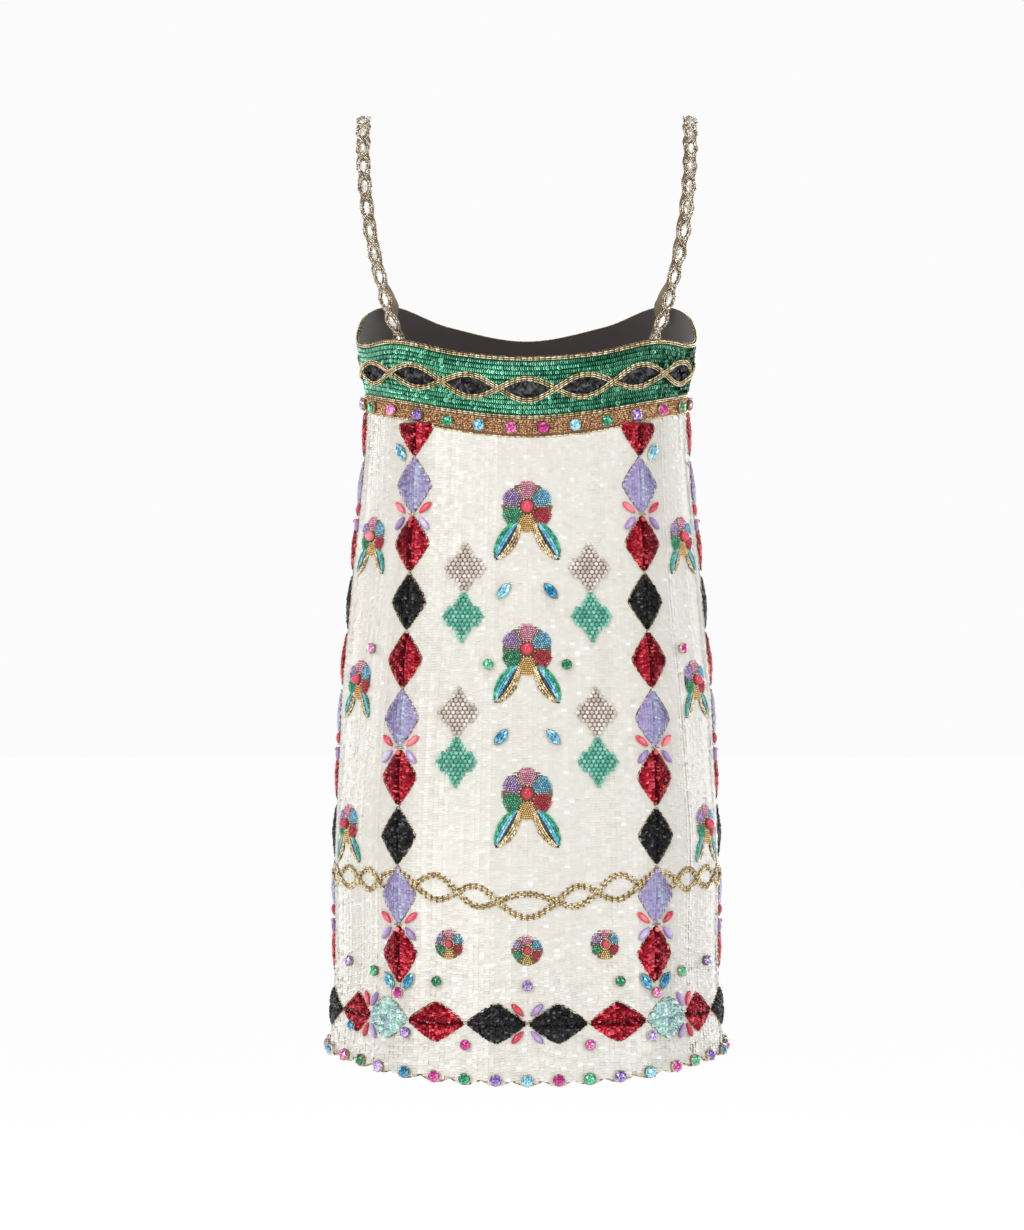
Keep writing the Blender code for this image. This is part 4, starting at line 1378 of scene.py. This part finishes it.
def sequin_shades_and_light(lozenge, u, v, across):
    """Painted shade deep in the groove, a painted highlight on the two lobes, a painted sheen beside the
    lilac's groove, random mint, and a few painted glint spots.
    """
    short = u if is_upright(lozenge) else v
    number = len(u)
    # Painted shade along the groove and a painted highlight on each lobe's crest.
    groove = np.exp(-((short / 0.12) ** 2))
    lobe_highlight = np.exp(-(((abs(short) - 0.36) / 0.20) ** 2))
    lobes = 0.02 if lozenge.colour == "black" else 0.30
    tones = 0.36 + 0.5 * (chance.random(number) - 0.5) + lobes * lobe_highlight - 0.6 * groove
    if lozenge.colour == "lilac":
        # Lilac: a painted sheen beside the groove, each sequin taking a random share of it.
        shine = np.exp(-(((across - 2.2 * MM) / (4.0 * MM)) ** 2)) * chance.random(number) ** 1.5
        tones = 0.10 + 0.5 * chance.random(number) + 0.75 * shine - 0.2 * groove
    if lozenge.colour == "mint":
        tones = chance.random(number)
    # A few sequins painted at their palest, as painted glint spots.
    glints = chance.random(number) < SEQUIN_LOOKS[lozenge.colour].glints
    return np.clip(np.where(glints, 1.0, tones), 0, 1)


def puff_slopes(lozenge, u, v):
    """How high a lozenge's top is, and how it leans up the dress and rolls across it."""
    small = 0.5 * MM
    rise = LOZENGE_RISE * puff(lozenge, u, v)
    rise_across = (LOZENGE_RISE * puff(lozenge, u + small / lozenge.half_across, v) - rise) / small
    rise_up = (LOZENGE_RISE * puff(lozenge, u, v + small / lozenge.half_up) - rise) / small
    lean, roll = (np.clip(-np.arctan(steep), -0.9, 0.9) for steep in (rise_up, rise_across))
    return rise, lean, roll


def lozenge_sequins(work, lozenge, top=math.inf):
    """Cup sequins in strings that run out and down from the lozenge's groove."""
    look = SEQUIN_LOOKS[lozenge.colour]
    reach_across = int(2 * lozenge.half_across / look.pitch) + 2
    reach_along = int(2.6 * lozenge.half_up / look.step) + 2
    i, j = np.meshgrid(np.arange(-reach_across, reach_across + 1), np.arange(-reach_along, reach_along + 1))
    across = (i + 0.5).ravel() * look.pitch
    slope = 0.45 if is_upright(lozenge) else 0.2
    up = j.ravel() * look.step + chance.normal(0, 0.10 * MM, j.size) - slope * abs(across)
    u, v = across / lozenge.half_across, up / lozenge.half_up
    shows = (room_left(lozenge, u, v) > 0.03) & (lozenge.height + up < top - 1.0 * MM)
    u, v, across, up = u[shows], v[shows], across[shows], up[shows]
    number = len(u)
    rise, lean, roll = puff_slopes(lozenge, u, v)
    place, z = lozenge_spot(lozenge, across, up)
    centres, frames = lie(place, z, LOZENGE_FOOT + rise + 0.35 * MM)
    frames = leaned(
        leaned(frames, lean=lean, roll=roll),
        lean=math.radians(22) + spread(look.loose, number),
        turn=-np.sign(across) * math.atan(slope) + spread(look.loose, number),
        roll=spread(look.loose, number),
    )
    size = (look.pitch * 1.3, look.pitch * 1.35, look.pitch)
    tones = sequin_shades_and_light(lozenge, u, v, across)
    work.sew(FINE_SEQUIN, centres, frames, size, f"{lozenge.colour}_sequin", tones)


def lozenge_outline(work, lozenge, top=math.inf):
    """A fine line of gold beads round a lozenge."""
    t = np.linspace(0.02, 0.98, 16)
    for side in (-1, 1):
        for end in (-1, 1):
            short, long = side * (1 - t**lozenge.fullness), end * t
            u, v = (short, long) if is_upright(lozenge) else (long, short)
            across, up = u * (lozenge.half_across + 0.5 * MM), v * (lozenge.half_up + 0.4 * MM)
            place, z = lozenge_spot(lozenge, across, up)
            shows = z < top
            if shows.sum() < 3:
                continue
            points, frames = lie(place[shows], z[shows])
            centres, turned = strung(points, frames[:, 2], 2.7 * MM, lift=1.0 * MM)
            fine_line(work, centres, turned, chance.random(len(centres)) < 0.3, 2.6 * MM)


def make_lozenges(node, lozenges, top=math.inf):
    """A run of lozenges, of which the first is cut off at top."""
    pads, sequins, outline = (Beadwork(f"{node}_{part}") for part in ("pads", "sequins", "outline"))
    for n, lozenge in enumerate(lozenges):
        cut = top if n == 0 else math.inf
        lozenge_pad(pads, lozenge, cut)
        lozenge_sequins(sequins, lozenge, cut)
        lozenge_outline(outline, lozenge, cut)
    pads.finish("red_sequins", [node])
    sequins.finish("red_sequins")
    outline.finish("gold_beads")


def lozenge_columns():
    heights = TIPS[0] + HALF_LENGTH * (1 - 2 * np.arange(len(COLUMN_COLOURS)))
    for k, column in enumerate(COLUMNS, 1):
        line = partial(column_line, column)
        lozenges = [
            Lozenge(line, lambda place: 0.0, z, column.half_width, HALF_LENGTH, colour, FULLNESS)
            for z, colour in zip(heights, COLUMN_COLOURS)
        ]
        top = float(edge("strip_foot", column.top)) - 1.2 * MM
        make_lozenges(f"lozenge_column_{k}", lozenges, top)


def row_lozenge(place, half_share, colour):
    """A lying lozenge that follows the sag of its row."""
    height = float(row_middle(place))
    half_across = half_share / float(places_per_metre(place, height))
    fullness = MINT_FULLNESS if colour == "mint" else FULLNESS

    def sag(there):
        return row_middle(there) - height

    return Lozenge(lambda z: place, sag, height, half_across, ROW_HALF_HEIGHT, colour, fullness)


def lozenge_rows():
    for half in HALVES:
        lozenges = [
            row_lozenge(half.centre + side * (inner + outer) / 2, (outer - inner) / 2, colour)
            for inner, outer, colour in zip(ROW_TIPS, ROW_TIPS[1:], ROW_COLOURS)
            for side in (-1, 1)
        ]
        make_lozenges(f"lozenge_row_{half.name}", lozenges)


# ---------------------------------------------------------------- petals and loose stones
PETAL_SIZE = (13.8 * MM, 5.6 * MM, 4.6 * MM)
JOINT_PEARL = 4.2 * MM
JOINT_BAR = (7.0 * MM, 1.3 * MM, 1.3 * MM)


def sew_petal(work, place, z, across, up, pointing, finish):
    """A petal bead across and up from a spot, its round end the way it points (degrees from level)."""
    there = place + across * places_per_metre(place, z)
    work.lay(PETAL, there, z + up, 2.4 * MM, PETAL_SIZE, finish, turn=math.radians(pointing))


def column_petals(work, place, z):
    """Four petal beads, a bar and a bead at the joint under a lilac lozenge."""
    for side in (-1, 1):
        sew_petal(work, place, z, side * 11.4 * MM, 5.2 * MM, 90 - 50 * side, "coral_pearl")
        sew_petal(work, place, z, side * 11.0 * MM, -7.2 * MM, 42 * side - 90, "lilac_pearl")
    work.lay(BUGLE, place, z, 2.6 * MM, JOINT_BAR, "gold_bead")
    work.lay(PEARL, place, z - JOINT_PEARL, 3.6 * MM, JOINT_PEARL, "coral_pearl")


def row_petals(work, half, share):
    """Four petal beads round a joint of the lying lozenges, wider apart at the middle."""
    place = share + half.centre
    z = float(row_middle(place))
    coral_side = 1 if share > 0 else -1
    aside, rise = (5.4, 12.6) if share else (7.6, 10.8)
    for side in (-1, 1):
        for up in (-1, 1):
            finish = "coral_pearl" if side == coral_side else "lilac_pearl"
            pointing = math.degrees(math.atan2(up * (rise - 3.0), side * aside))
            sew_petal(work, place, z, side * aside * MM, up * rise * MM, pointing, finish)


def petals():
    for k, column in enumerate(COLUMNS, 1):
        work = Beadwork(f"petals_column_{k}")
        for z, colour in zip(TIPS, COLUMN_COLOURS):
            if colour == "lilac":
                column_petals(work, float(column_line(column, z)), float(z))
        work.finish("coral_beads")
    for half in HALVES:
        work = Beadwork(f"petals_row_{half.name}")
        for share in (-ROW_TIPS[3], 0.0, ROW_TIPS[3]):
            row_petals(work, half, share)
        work.finish("coral_beads")


Stone = namedtuple("Stone", "across height colour")
LOOSE_STONES = (
    Stone(-0.0719, -0.7017, "green"),
    Stone(0.0, -0.7045, "violet"),
    Stone(0.0739, -0.7017, "green"),
    Stone(-0.1454, -0.6901, "violet"),
    Stone(-0.1231, -0.6957, "green"),
    Stone(-0.1440, -0.7418, "blue"),
    Stone(-0.0967, -0.7430, "violet"),
    Stone(-0.0490, -0.7518, "pink"),
    Stone(0.0499, -0.7518, "pink"),
    Stone(0.0987, -0.7461, "violet"),
    Stone(0.1240, -0.6960, "green"),
    Stone(0.1460, -0.6900, "violet"),
    Stone(-0.0310, -0.4492, "green"),
    Stone(0.0315, -0.4492, "green"),
    Stone(-0.1275, -0.4365, "pink"),
    Stone(0.1275, -0.4365, "pink"),
)
LOOSE_STONE = 8.6 * MM
FOOT_STONE = 8.4 * MM
MARQUISE_SIZE = (15.5 * MM, 8.2 * MM, 6.6 * MM)


def set_marquises(work, spots):
    """Pointed sky-blue stones: place, height, and the way each points (degrees from level)."""
    place, z, pointing = (np.array(column, float) for column in zip(*spots))
    centres, frames = lie(place, z, 3.0 * MM)
    frames = leaned(frames, turn=np.radians(pointing))
    work.sew(MARQUISE_CUP, centres, frames, MARQUISE_SIZE, "setting")
    for k in range(len(centres)):
        work.sew(MARQUISE, centres[k : k + 1], frames[k : k + 1], MARQUISE_SIZE, "blue_stone")


def marquise_spots(half, columns):
    """Spots outside each column's top, at its foot, and at both sides of the middle flowers."""
    spots = []
    for column in columns:
        out = 1 if (column.top > 0) != half.is_front else -1
        step = out * 12.2 * MM * float(places_per_metre(column.top, TIPS[0]))
        spots.append((column.top + step, TIPS[0] + 3.5 * MM, 90 - 28 * out))
        for side in (-1, 1):
            step = side * 8.8 * MM * float(places_per_metre(column.foot, COLUMN_FOOT))
            spots.append((column.foot + step, COLUMN_FOOT + 1.6 * MM, 90 - 32 * side))
    for z in (-0.3900, -0.5070):
        for side in (-1, 1):
            spots.append((half.centre + side * 0.048, z, 90 + 40 * side))
    return spots


def loose_stones():
    for half in HALVES:
        work = Beadwork(f"loose_stones_{half.name}")
        place = np.array([place_across(s.across, s.height, half.is_front) for s in LOOSE_STONES])
        on_back = 1 - abs(place) if half.is_front else place
        rise = edge("hem", place) - edge("hem", on_back)
        z = np.array([s.height for s in LOOSE_STONES]) + rise
        set_stones(work, place, z, [s.colour for s in LOOSE_STONES], LOOSE_STONE)
        columns = [c for c in COLUMNS if abs(c.foot) != 0.5 and (abs(c.foot) > 0.5) == half.is_front]
        feet = np.array([c.foot for c in columns])
        z = np.full(len(feet), COLUMN_FOOT - 7.6 * MM)
        set_stones(work, feet, z, ["pink"] * len(feet), FOOT_STONE)
        set_marquises(work, marquise_spots(half, columns))
        work.finish("bronze_beads")


# ---------------------------------------------------------------- the gold chain
CHAIN_CROSSINGS = (
    *(0.053, 0.122, 0.200, 0.280, 0.343, 0.406, 0.468),
    *(0.532, 0.594, 0.657, 0.720, 0.800, 0.878, 0.947),
)
ChainPoint = namedtuple("ChainPoint", "place height swing")
CHAIN = (
    ChainPoint(0.00, -0.6412, 0.0094),
    ChainPoint(0.09, -0.6335, 0.0080),
    ChainPoint(0.16, -0.6270, 0.0098),
    ChainPoint(0.24, -0.6240, 0.0090),
    ChainPoint(0.50, -0.6215, 0.0080),
    ChainPoint(0.76, -0.6215, 0.0090),
    ChainPoint(0.84, -0.6225, 0.0098),
    ChainPoint(0.91, -0.6280, 0.0080),
    ChainPoint(1.00, -0.6330, 0.0094),
)
CHAIN_BUGLE = (4.4 * MM, 1.4 * MM, 1.4 * MM)
CHAIN_PITCH = 1.12 * CHAIN_BUGLE[0]
CHAIN_SEED = 1.35 * MM


def chain_turn(place):
    """The chain's phase at places from 0 to 1, with a crossing at each whole turn of pi."""
    known = (-CHAIN_CROSSINGS[0], *CHAIN_CROSSINGS, 2 - CHAIN_CROSSINGS[-1])
    return np.interp(place, known, math.pi * np.arange(len(known)))


def gold_chain(half):
    """Two strands of three rows of bugles that loop round the skirt, with a dark bead at each join."""
    work = Beadwork(f"gold_chain_{half.name}")
    place = level_run(half, 1 * MM)
    there = abs(wrapped(place))
    turn = chain_turn(there)
    middle = through(CHAIN, "place", "height", there, level_ends=True)
    swing = through(CHAIN, "place", "swing", there, level_ends=True)
    for twist in (1, -1):
        lift = crossing_lift(turn, twist, 0.6, 0.35, 1.3 * MM) + 1.5 * MM
        points, frames = lie(place, middle + twist * swing * np.sin(turn))
        for row in (-1, 0, 1):
            out = lift + (0.3 * MM if row == 0 else 0.0)
            centres, turned = strung(points, frames[:, 2], CHAIN_PITCH, row * 1.45 * MM, out)
            work.sew(BUGLE, centres, turned, CHAIN_BUGLE, "gold_bead")
            joins = (centres[1:] + centres[:-1]) / 2 + turned[1:, 1] * row * 0.6 * MM
            work.sew(SEED, joins, turned[1:], CHAIN_SEED, "dark_gold_bead")
    work.finish("gold_beads")


# ---------------------------------------------------------------- flowers and pearl lozenges
PETAL_COLOURS = ("pink_bead", "sky_bead", "red_bead", "yellow_bead", "leaf_bead", "lilac_pearl")
STRIPES = (*["leaf_bead"] * 2, *["sky_bead"] * 2, "black_bead", *["gold_bead"] * 3)
LEAF_ROWS, LEAF_COLUMNS = 12, 4
FLOWER_SEED = 1.6 * MM
FLOWER_PITCH = 1.02 * FLOWER_SEED
FLOWER_MIDDLE_SEED = 1.7 * MM
FLOWER_PEARL = 10.0 * MM
PETAL_LINE = (2.2 * MM, 1.0 * MM, 1.0 * MM)
ON_CLOTH = 0.7 * MM


def flower_spots(row, radius, turn):
    """Places and heights round a flower, at radii and turns from straight up."""
    place = row.place + radius * np.sin(turn) * places_per_metre(row.place, row.height)
    return place, row.height + radius * np.cos(turn)


def flower_shade_backing(work, row):
    """A dark backing under the head and the leaves, beaded over: painted shade for the gaps between their
    beads.
    """
    out = ON_CLOTH + 0.2 * MM
    turns, rings = np.linspace(0, 2 * math.pi, 25), np.array([0.1, 0.4, 0.7, 0.97]) * row.head
    place, z = flower_spots(row, np.repeat(rings, len(turns)), np.tile(turns, len(rings)))
    sew_patch(work, place, z, out, grid_faces(len(rings) - 1, len(turns) - 1), "gold_tape")
    along, across = np.linspace(0.0, 0.99, LEAF_ROWS + 1), np.linspace(-1, 1, LEAF_COLUMNS + 1)
    t, share = (a.ravel() for a in np.meshgrid(along, across, indexing="ij"))
    for side in (-1, 1) if row.leaf else ():
        place, z = leaf_place(row, side, t, share * leaf_half(t, row))
        sew_patch(work, place, z, out, grid_faces(LEAF_ROWS, LEAF_COLUMNS), "black_cloth")


def leaf_place(row, side, t, aside):
    """Places and heights at t of the way along a leaf and aside from its middle line."""
    x, y = side * math.sin(LEAF_TURN), math.cos(LEAF_TURN)
    start = LEAF_FROM * row.head
    along = start + t * (row.leaf - start)
    across, up = along * x + aside * y, along * y - aside * x
    return row.place + across * places_per_metre(row.place, row.height), row.height + up


def flower_petals(work, row):
    """Six round-ended petals of seed beads, each its own colour, with a gold line between."""
    first, wide = 0.36 * row.head, math.radians(30)
    for k, finish in enumerate(PETAL_COLOURS):
        middle = math.radians(60 * k)
        for radius in np.arange(first, row.head, FLOWER_PITCH):
            t = (radius - first) / (row.head - first)
            reach = (wide - 0.7 * MM / radius) * math.sqrt(max(0.0, 1 - max(0.0, (t - 0.45) / 0.62) ** 2))
            count = max(1, int(round(2 * reach * radius / FLOWER_PITCH)))
            turn = middle + (np.arange(count) - (count - 1) / 2) * FLOWER_PITCH / radius
            place, z = flower_spots(row, radius, turn)
            out = ON_CLOTH + 0.8 * MM + 0.9 * MM * math.sin(math.pi * t)
            work.lay(SEED, place, z, out, FLOWER_SEED, finish)
        place, z = flower_spots(row, np.linspace(first, row.head * 0.86, 12), middle + wide)
        beaded_line(work, place, z, PETAL_LINE, "gold_bead", THREAD_BUGLE, 1.6 * MM)


def flower_leaves(work, row):
    """Two pointed leaves of bugles laid in stripes from foot to tip."""
    for side in (-1, 1):
        t = np.linspace(0.04, 0.99, 40)
        widest = leaf_half(0.5, row)
        for k, finish in enumerate(STRIPES):
            aside = side * (2 * (k + 0.5) / len(STRIPES) - 1) * leaf_half(t, row)
            shows = leaf_half(t, row) / widest > (0.28 if k % 2 else 0.45)
            place, z = leaf_place(row, side, t[shows], aside[shows])
            width = 2 * widest / len(STRIPES)
            beaded_line(work, place, z, (3.4 * MM, width, width), finish, lift=ON_CLOTH + 1.0 * MM)


def flowers():
    for node, row in all_flowers():
        work = Beadwork(f"{node}_beads")
        flower_shade_backing(work, row)
        if row.leaf:
            flower_leaves(work, row)
        flower_petals(work, row)
        place, z = flower_spots(row, 0.31 * row.head, np.array(even_turns(14)))
        work.lay(SEED, place, z, ON_CLOTH + 1.4 * MM, FLOWER_MIDDLE_SEED, "gold_bead")
        size = FLOWER_PEARL * row.head / CENTRE_FLOWERS[0].head
        out = ON_CLOTH + 0.42 * FLOWER_PEARL
        work.lay(BIG_PEARL, row.place, row.height, out, size, "coral_pearl")
        work.finish("coral_beads", [node])


PEARL_SIZE = 3.4 * MM
PEARL_PITCH = 3.75 * MM


def pearl_lozenges():
    """Lozenges of small pearls in a honeycomb, one beige and one teal."""
    for node, middle, tips in all_pearl_chains():
        work = Beadwork(f"{node}_beads")
        for (upper, lower), finish in zip(zip(tips, tips[1:]), ("beige_pearl", "teal_pearl")):
            half = (upper - lower) / 2
            rise = PEARL_PITCH * math.sqrt(3) / 2
            rows = int(half / rise)
            for j in range(-rows, rows + 1):
                up = j * rise
                room = PEARL_HALF_WIDTH * (1 - abs(up) / half)
                count = int(2 * room / PEARL_PITCH) + 1
                if (count + j) % 2 == 0:
                    count = max(1, count - 1)
                across = (np.arange(count) - (count - 1) / 2) * PEARL_PITCH
                z = (upper + lower) / 2 + up
                place = middle + across * places_per_metre(middle, z)
                work.lay(PEARL, place, z, ON_CLOTH + 0.45 * PEARL_SIZE, PEARL_SIZE, finish)
        work.finish("teal_pearls", [node])


# ---------------------------------------------------------------- straps
StrapPoint = namedtuple("StrapPoint", "across forward height lean")
STRAP_ROUTE = (
    StrapPoint(0.1110, -0.0685, -0.1640, 31.0),
    StrapPoint(0.1190, -0.0735, -0.1330, 24.0),
    StrapPoint(0.1262, -0.0735, -0.1010, 17.0),
    StrapPoint(0.1305, -0.0665, -0.0700, 12.0),
    StrapPoint(0.1332, -0.0500, -0.0370, 9.0),
    StrapPoint(0.1342, -0.0275, -0.0110, 8.0),
    StrapPoint(0.1345, 0.0000, 0.0000, 8.0),
    StrapPoint(0.1355, 0.0270, -0.0090, 9.0),
    StrapPoint(0.1362, 0.0500, -0.0330, 13.0),
    StrapPoint(0.1340, 0.0660, -0.0640, 20.0),
    StrapPoint(0.1290, 0.0735, -0.0960, 29.0),
    StrapPoint(0.1225, 0.0745, -0.1260, 38.0),
)
SHOULDER_CENTRE = -0.17
STRAP_BACK = 0.300
STRAP_FRONT = 0.685
STRAP_TUCK = 0.010
STRAP_BENDS = 0.002
STRAP_INSIDE = 1.9 * MM
STRAP_THICK = 3.4 * MM
STRAP_EYES = 23
STRAP_SWING = 4.2 * MM
STRAP_TAPE = 1.0 * MM
STRAP_BUGLE = (3.5 * MM, 1.3 * MM, 1.3 * MM)
STRAP_SEED = 1.6 * MM
STRAP_CRYSTAL = (12.0 * MM, 4.8 * MM, 4.6 * MM)
EYE_STEPS = 20  # steps of the route from one crossing to the next
StrapStep = namedtuple("StrapStep", ("share", *StrapPoint._fields))


def strap_points():
    """The whole route of the right strap, its ends tucked inside the band."""
    inside = -(WALL + STRAP_INSIDE + STRAP_THICK)

    def end(place, up):
        z = float(edge("neck", place)) + up
        lean = math.asin(looked_up(OUT_X, np.array(place), np.array(z)))
        return StrapPoint(*cloth(place, z, inside), math.degrees(lean))

    back = [end(STRAP_BACK, -STRAP_TUCK), end(STRAP_BACK, STRAP_BENDS)]
    front = [end(STRAP_FRONT, STRAP_BENDS), end(STRAP_FRONT, -STRAP_TUCK)]
    return [*back, *STRAP_ROUTE, *front]


def strap_route(count, side):
    """count + 1 points at even steps along a strap, their directions, and the ways that they face."""
    points = strap_points()
    gaps = [math.dist(a[:3], b[:3]) for a, b in zip(points, points[1:])]
    shares = np.concatenate([[0], np.cumsum(gaps)]) / sum(gaps)
    steps = [StrapStep(share, *point) for share, point in zip(shares, points)]

    def spots(share):
        return np.stack([through(steps, "share", c, share) for c in StrapPoint._fields[:3]], axis=-1)

    share = np.linspace(0, 1, count + 1)
    here = spots(share)
    ahead = unit(spots(np.minimum(share + 0.005, 1)) - spots(np.maximum(share - 0.005, 0)))
    lean = np.radians(through(steps, "share", "lean", share))
    away = np.stack([np.zeros(count + 1), here[:, 1], here[:, 2] - SHOULDER_CENTRE], axis=1)
    away = unit(away) * np.cos(lean)[:, None]
    away[:, 0] = np.sin(lean)
    away = unit(away - ahead * np.sum(away * ahead, axis=1, keepdims=True))
    mirror = np.array([side, 1, 1])
    return share, here * mirror, ahead * mirror, away * mirror


def strap_tape(name, here, across, away, turn):
    """The tape that a strap's beads are sewn on, wider where the strands swing out."""
    half = (4.0 + 1.4 * abs(np.sin(turn))) * MM
    under = np.stack([here + across * (half * s)[:, None] for s in np.linspace(-1, 1, 5)], axis=1)
    over = under + away[:, None] * STRAP_TAPE
    tape = shell(f"strap_{name}_tape", over, under, "gold_tape", "gold_tape")
    worn(tape, [f"strap_{name}"])


def strap_strand(work, twist, here, across, away, turn):
    """One strand: a middle row of bugles between two rows of round beads."""
    aside = twist * STRAP_SWING * np.sin(turn)
    lift = 1.75 * MM + crossing_lift(turn, twist, 0.7, 0.4, 1.0 * MM, 0.2 * MM)
    path = here + across * aside[:, None] + away * lift[:, None]
    centres, turned = strung(path, away, 3.6 * MM, 0.0, 0.35 * MM)
    work.sew(BUGLE, centres, turned, STRAP_BUGLE, "strap_bead")
    for row in (-1, 1):
        centres, turned = strung(path, away, STRAP_SEED, row * 1.35 * MM)
        work.sew(SEED, centres, turned, STRAP_SEED, "strap_bead")


def straps():
    """Two twisted strands of gold beads on a tape, with a long crystal in each eye."""
    for name, side in SIDES:
        share, here, ahead, away = strap_route(STRAP_EYES * EYE_STEPS, side)
        turn = math.pi * STRAP_EYES * share
        across = unit(np.cross(away, ahead))
        strap_tape(name, here, across, away, turn)
        work = Beadwork(f"strap_{name}_beads")
        for twist in (1, -1):
            strap_strand(work, twist, here, across, away, turn)
        eyes = np.arange(STRAP_EYES) * EYE_STEPS + EYE_STEPS // 2
        frames = np.stack([ahead, np.cross(away, ahead), away], axis=1)[eyes]
        centres = here[eyes] + away[eyes] * 1.7 * MM
        is_top = here[eyes, 2] > here[eyes, 2].max() - 0.1 * MM
        work.sew(MARQUISE, centres[~is_top], frames[~is_top], STRAP_CRYSTAL, "clear_stone")
        work.sew(ROUND_STONE, centres[is_top], frames[is_top], 6.0 * MM, "clear_stone")
        work.finish("gold_beads")


# ---------------------------------------------------------------- the studio
CAMERA_DISTANCE = 3.5
CAMERA_HEIGHT = -0.4091
CAMERA_ASIDE = -0.01215
LENS = 123.9
FLOOR = -1.36
LIT_SPOT = (0, 0, -0.42)
WHITE = (1, 1, 1)
# Each lamp's name, place, size, power and colour.
LAMPS = (
    ("key", (-1.9, -3.0, 0.9), (1.5, 2.0), 62, (1.0, 0.985, 0.96)),
    ("fill", (2.3, -2.7, 0.1), (1.4, 2.0), 34, (0.96, 0.98, 1.0)),
    ("top", (0, -0.6, 2.2), (2.2, 1.2), 30, WHITE),
    ("rim_left", (-2.6, 1.6, 0.3), (0.8, 2.2), 26, WHITE),
    ("rim_right", (2.6, 1.6, 0.3), (0.8, 2.2), 26, WHITE),
    ("front", (0.6, 3.4, 0.4), (2.0, 2.0), 60, WHITE),
)


def area_light(name, place, size, power, colour):
    light = bpy.data.lights.new(name, "AREA")
    light.shape = "RECTANGLE"
    light.size, light.size_y = size
    light.energy = power
    light.color = colour
    lamp = bpy.data.objects.new(name, light)
    lamp.location = place
    lamp.rotation_euler = (Vector(LIT_SPOT) - Vector(place)).to_track_quat("-Z", "Y").to_euler()
    bpy.context.scene.collection.objects.link(lamp)


def studio_floor():
    """A wide pale floor that runs out of sight."""
    mesh = bpy.data.meshes.new("studio_floor")
    bm = bmesh.new()
    bmesh.ops.create_circle(bm, cap_ends=True, segments=64, radius=25.0)
    bm.to_mesh(mesh)
    bm.free()
    floor = bpy.data.objects.new("studio_floor", mesh)
    floor.location.z = FLOOR
    bpy.context.scene.collection.objects.link(floor)
    pale, tree, shader = plain_finish(
        "studio_floor",
        Roughness=0.9,
        Specular_IOR_Level=0.1,
        Emission_Color=(1, 1, 1),
        Emission_Strength=0.90,
    )
    drift = mixed(tree, noise(tree, 0.4).outputs["Fac"], (0.18, 0.18, 0.18), (0.20, 0.20, 0.20))
    tree.links.new(drift, shader.inputs["Base Color"])
    mesh.materials.append(pale)


def studio_light():
    """A soft grey light all round, seen as white, and the lamps."""
    world = bpy.data.worlds.new("studio")
    bpy.context.scene.world = world
    world.use_nodes = True
    tree = world.node_tree
    path = tree.nodes.new("ShaderNodeLightPath")
    seen = mixed(tree, path.outputs["Is Camera Ray"], (0.36, 0.365, 0.375), (0.97, 0.97, 0.97))
    tree.links.new(seen, tree.nodes["Background"].inputs["Color"])
    for lamp in LAMPS:
        area_light(*lamp)


def studio_camera():
    camera = bpy.data.cameras.new("camera")
    camera.lens = LENS
    camera.sensor_width = 36
    camera.clip_end = 60
    eye = bpy.data.objects.new("camera", camera)
    eye.location = (CAMERA_ASIDE, -CAMERA_DISTANCE, CAMERA_HEIGHT)
    eye.rotation_euler = (math.pi / 2, 0, 0)
    bpy.context.scene.collection.objects.link(eye)
    bpy.context.scene.camera = eye


# ---------------------------------------------------------------- the dress
straps()
make_body_cloth()
ground_sequins()
for dress_half in HALVES:
    band_sequins(dress_half)
    braid_eyes(dress_half)
    braid(dress_half)
    gold_edges(dress_half)
    strip_beads(dress_half)
    strip_stones(dress_half)
    hem_edging(dress_half)
    hem_stones(dress_half)
    gold_chain(dress_half)
lozenge_columns()
lozenge_rows()
petals()
loose_stones()
flowers()
pearl_lozenges()

bpy.context.scene.view_settings.view_transform = "Standard"
studio_floor()
studio_light()
studio_camera()
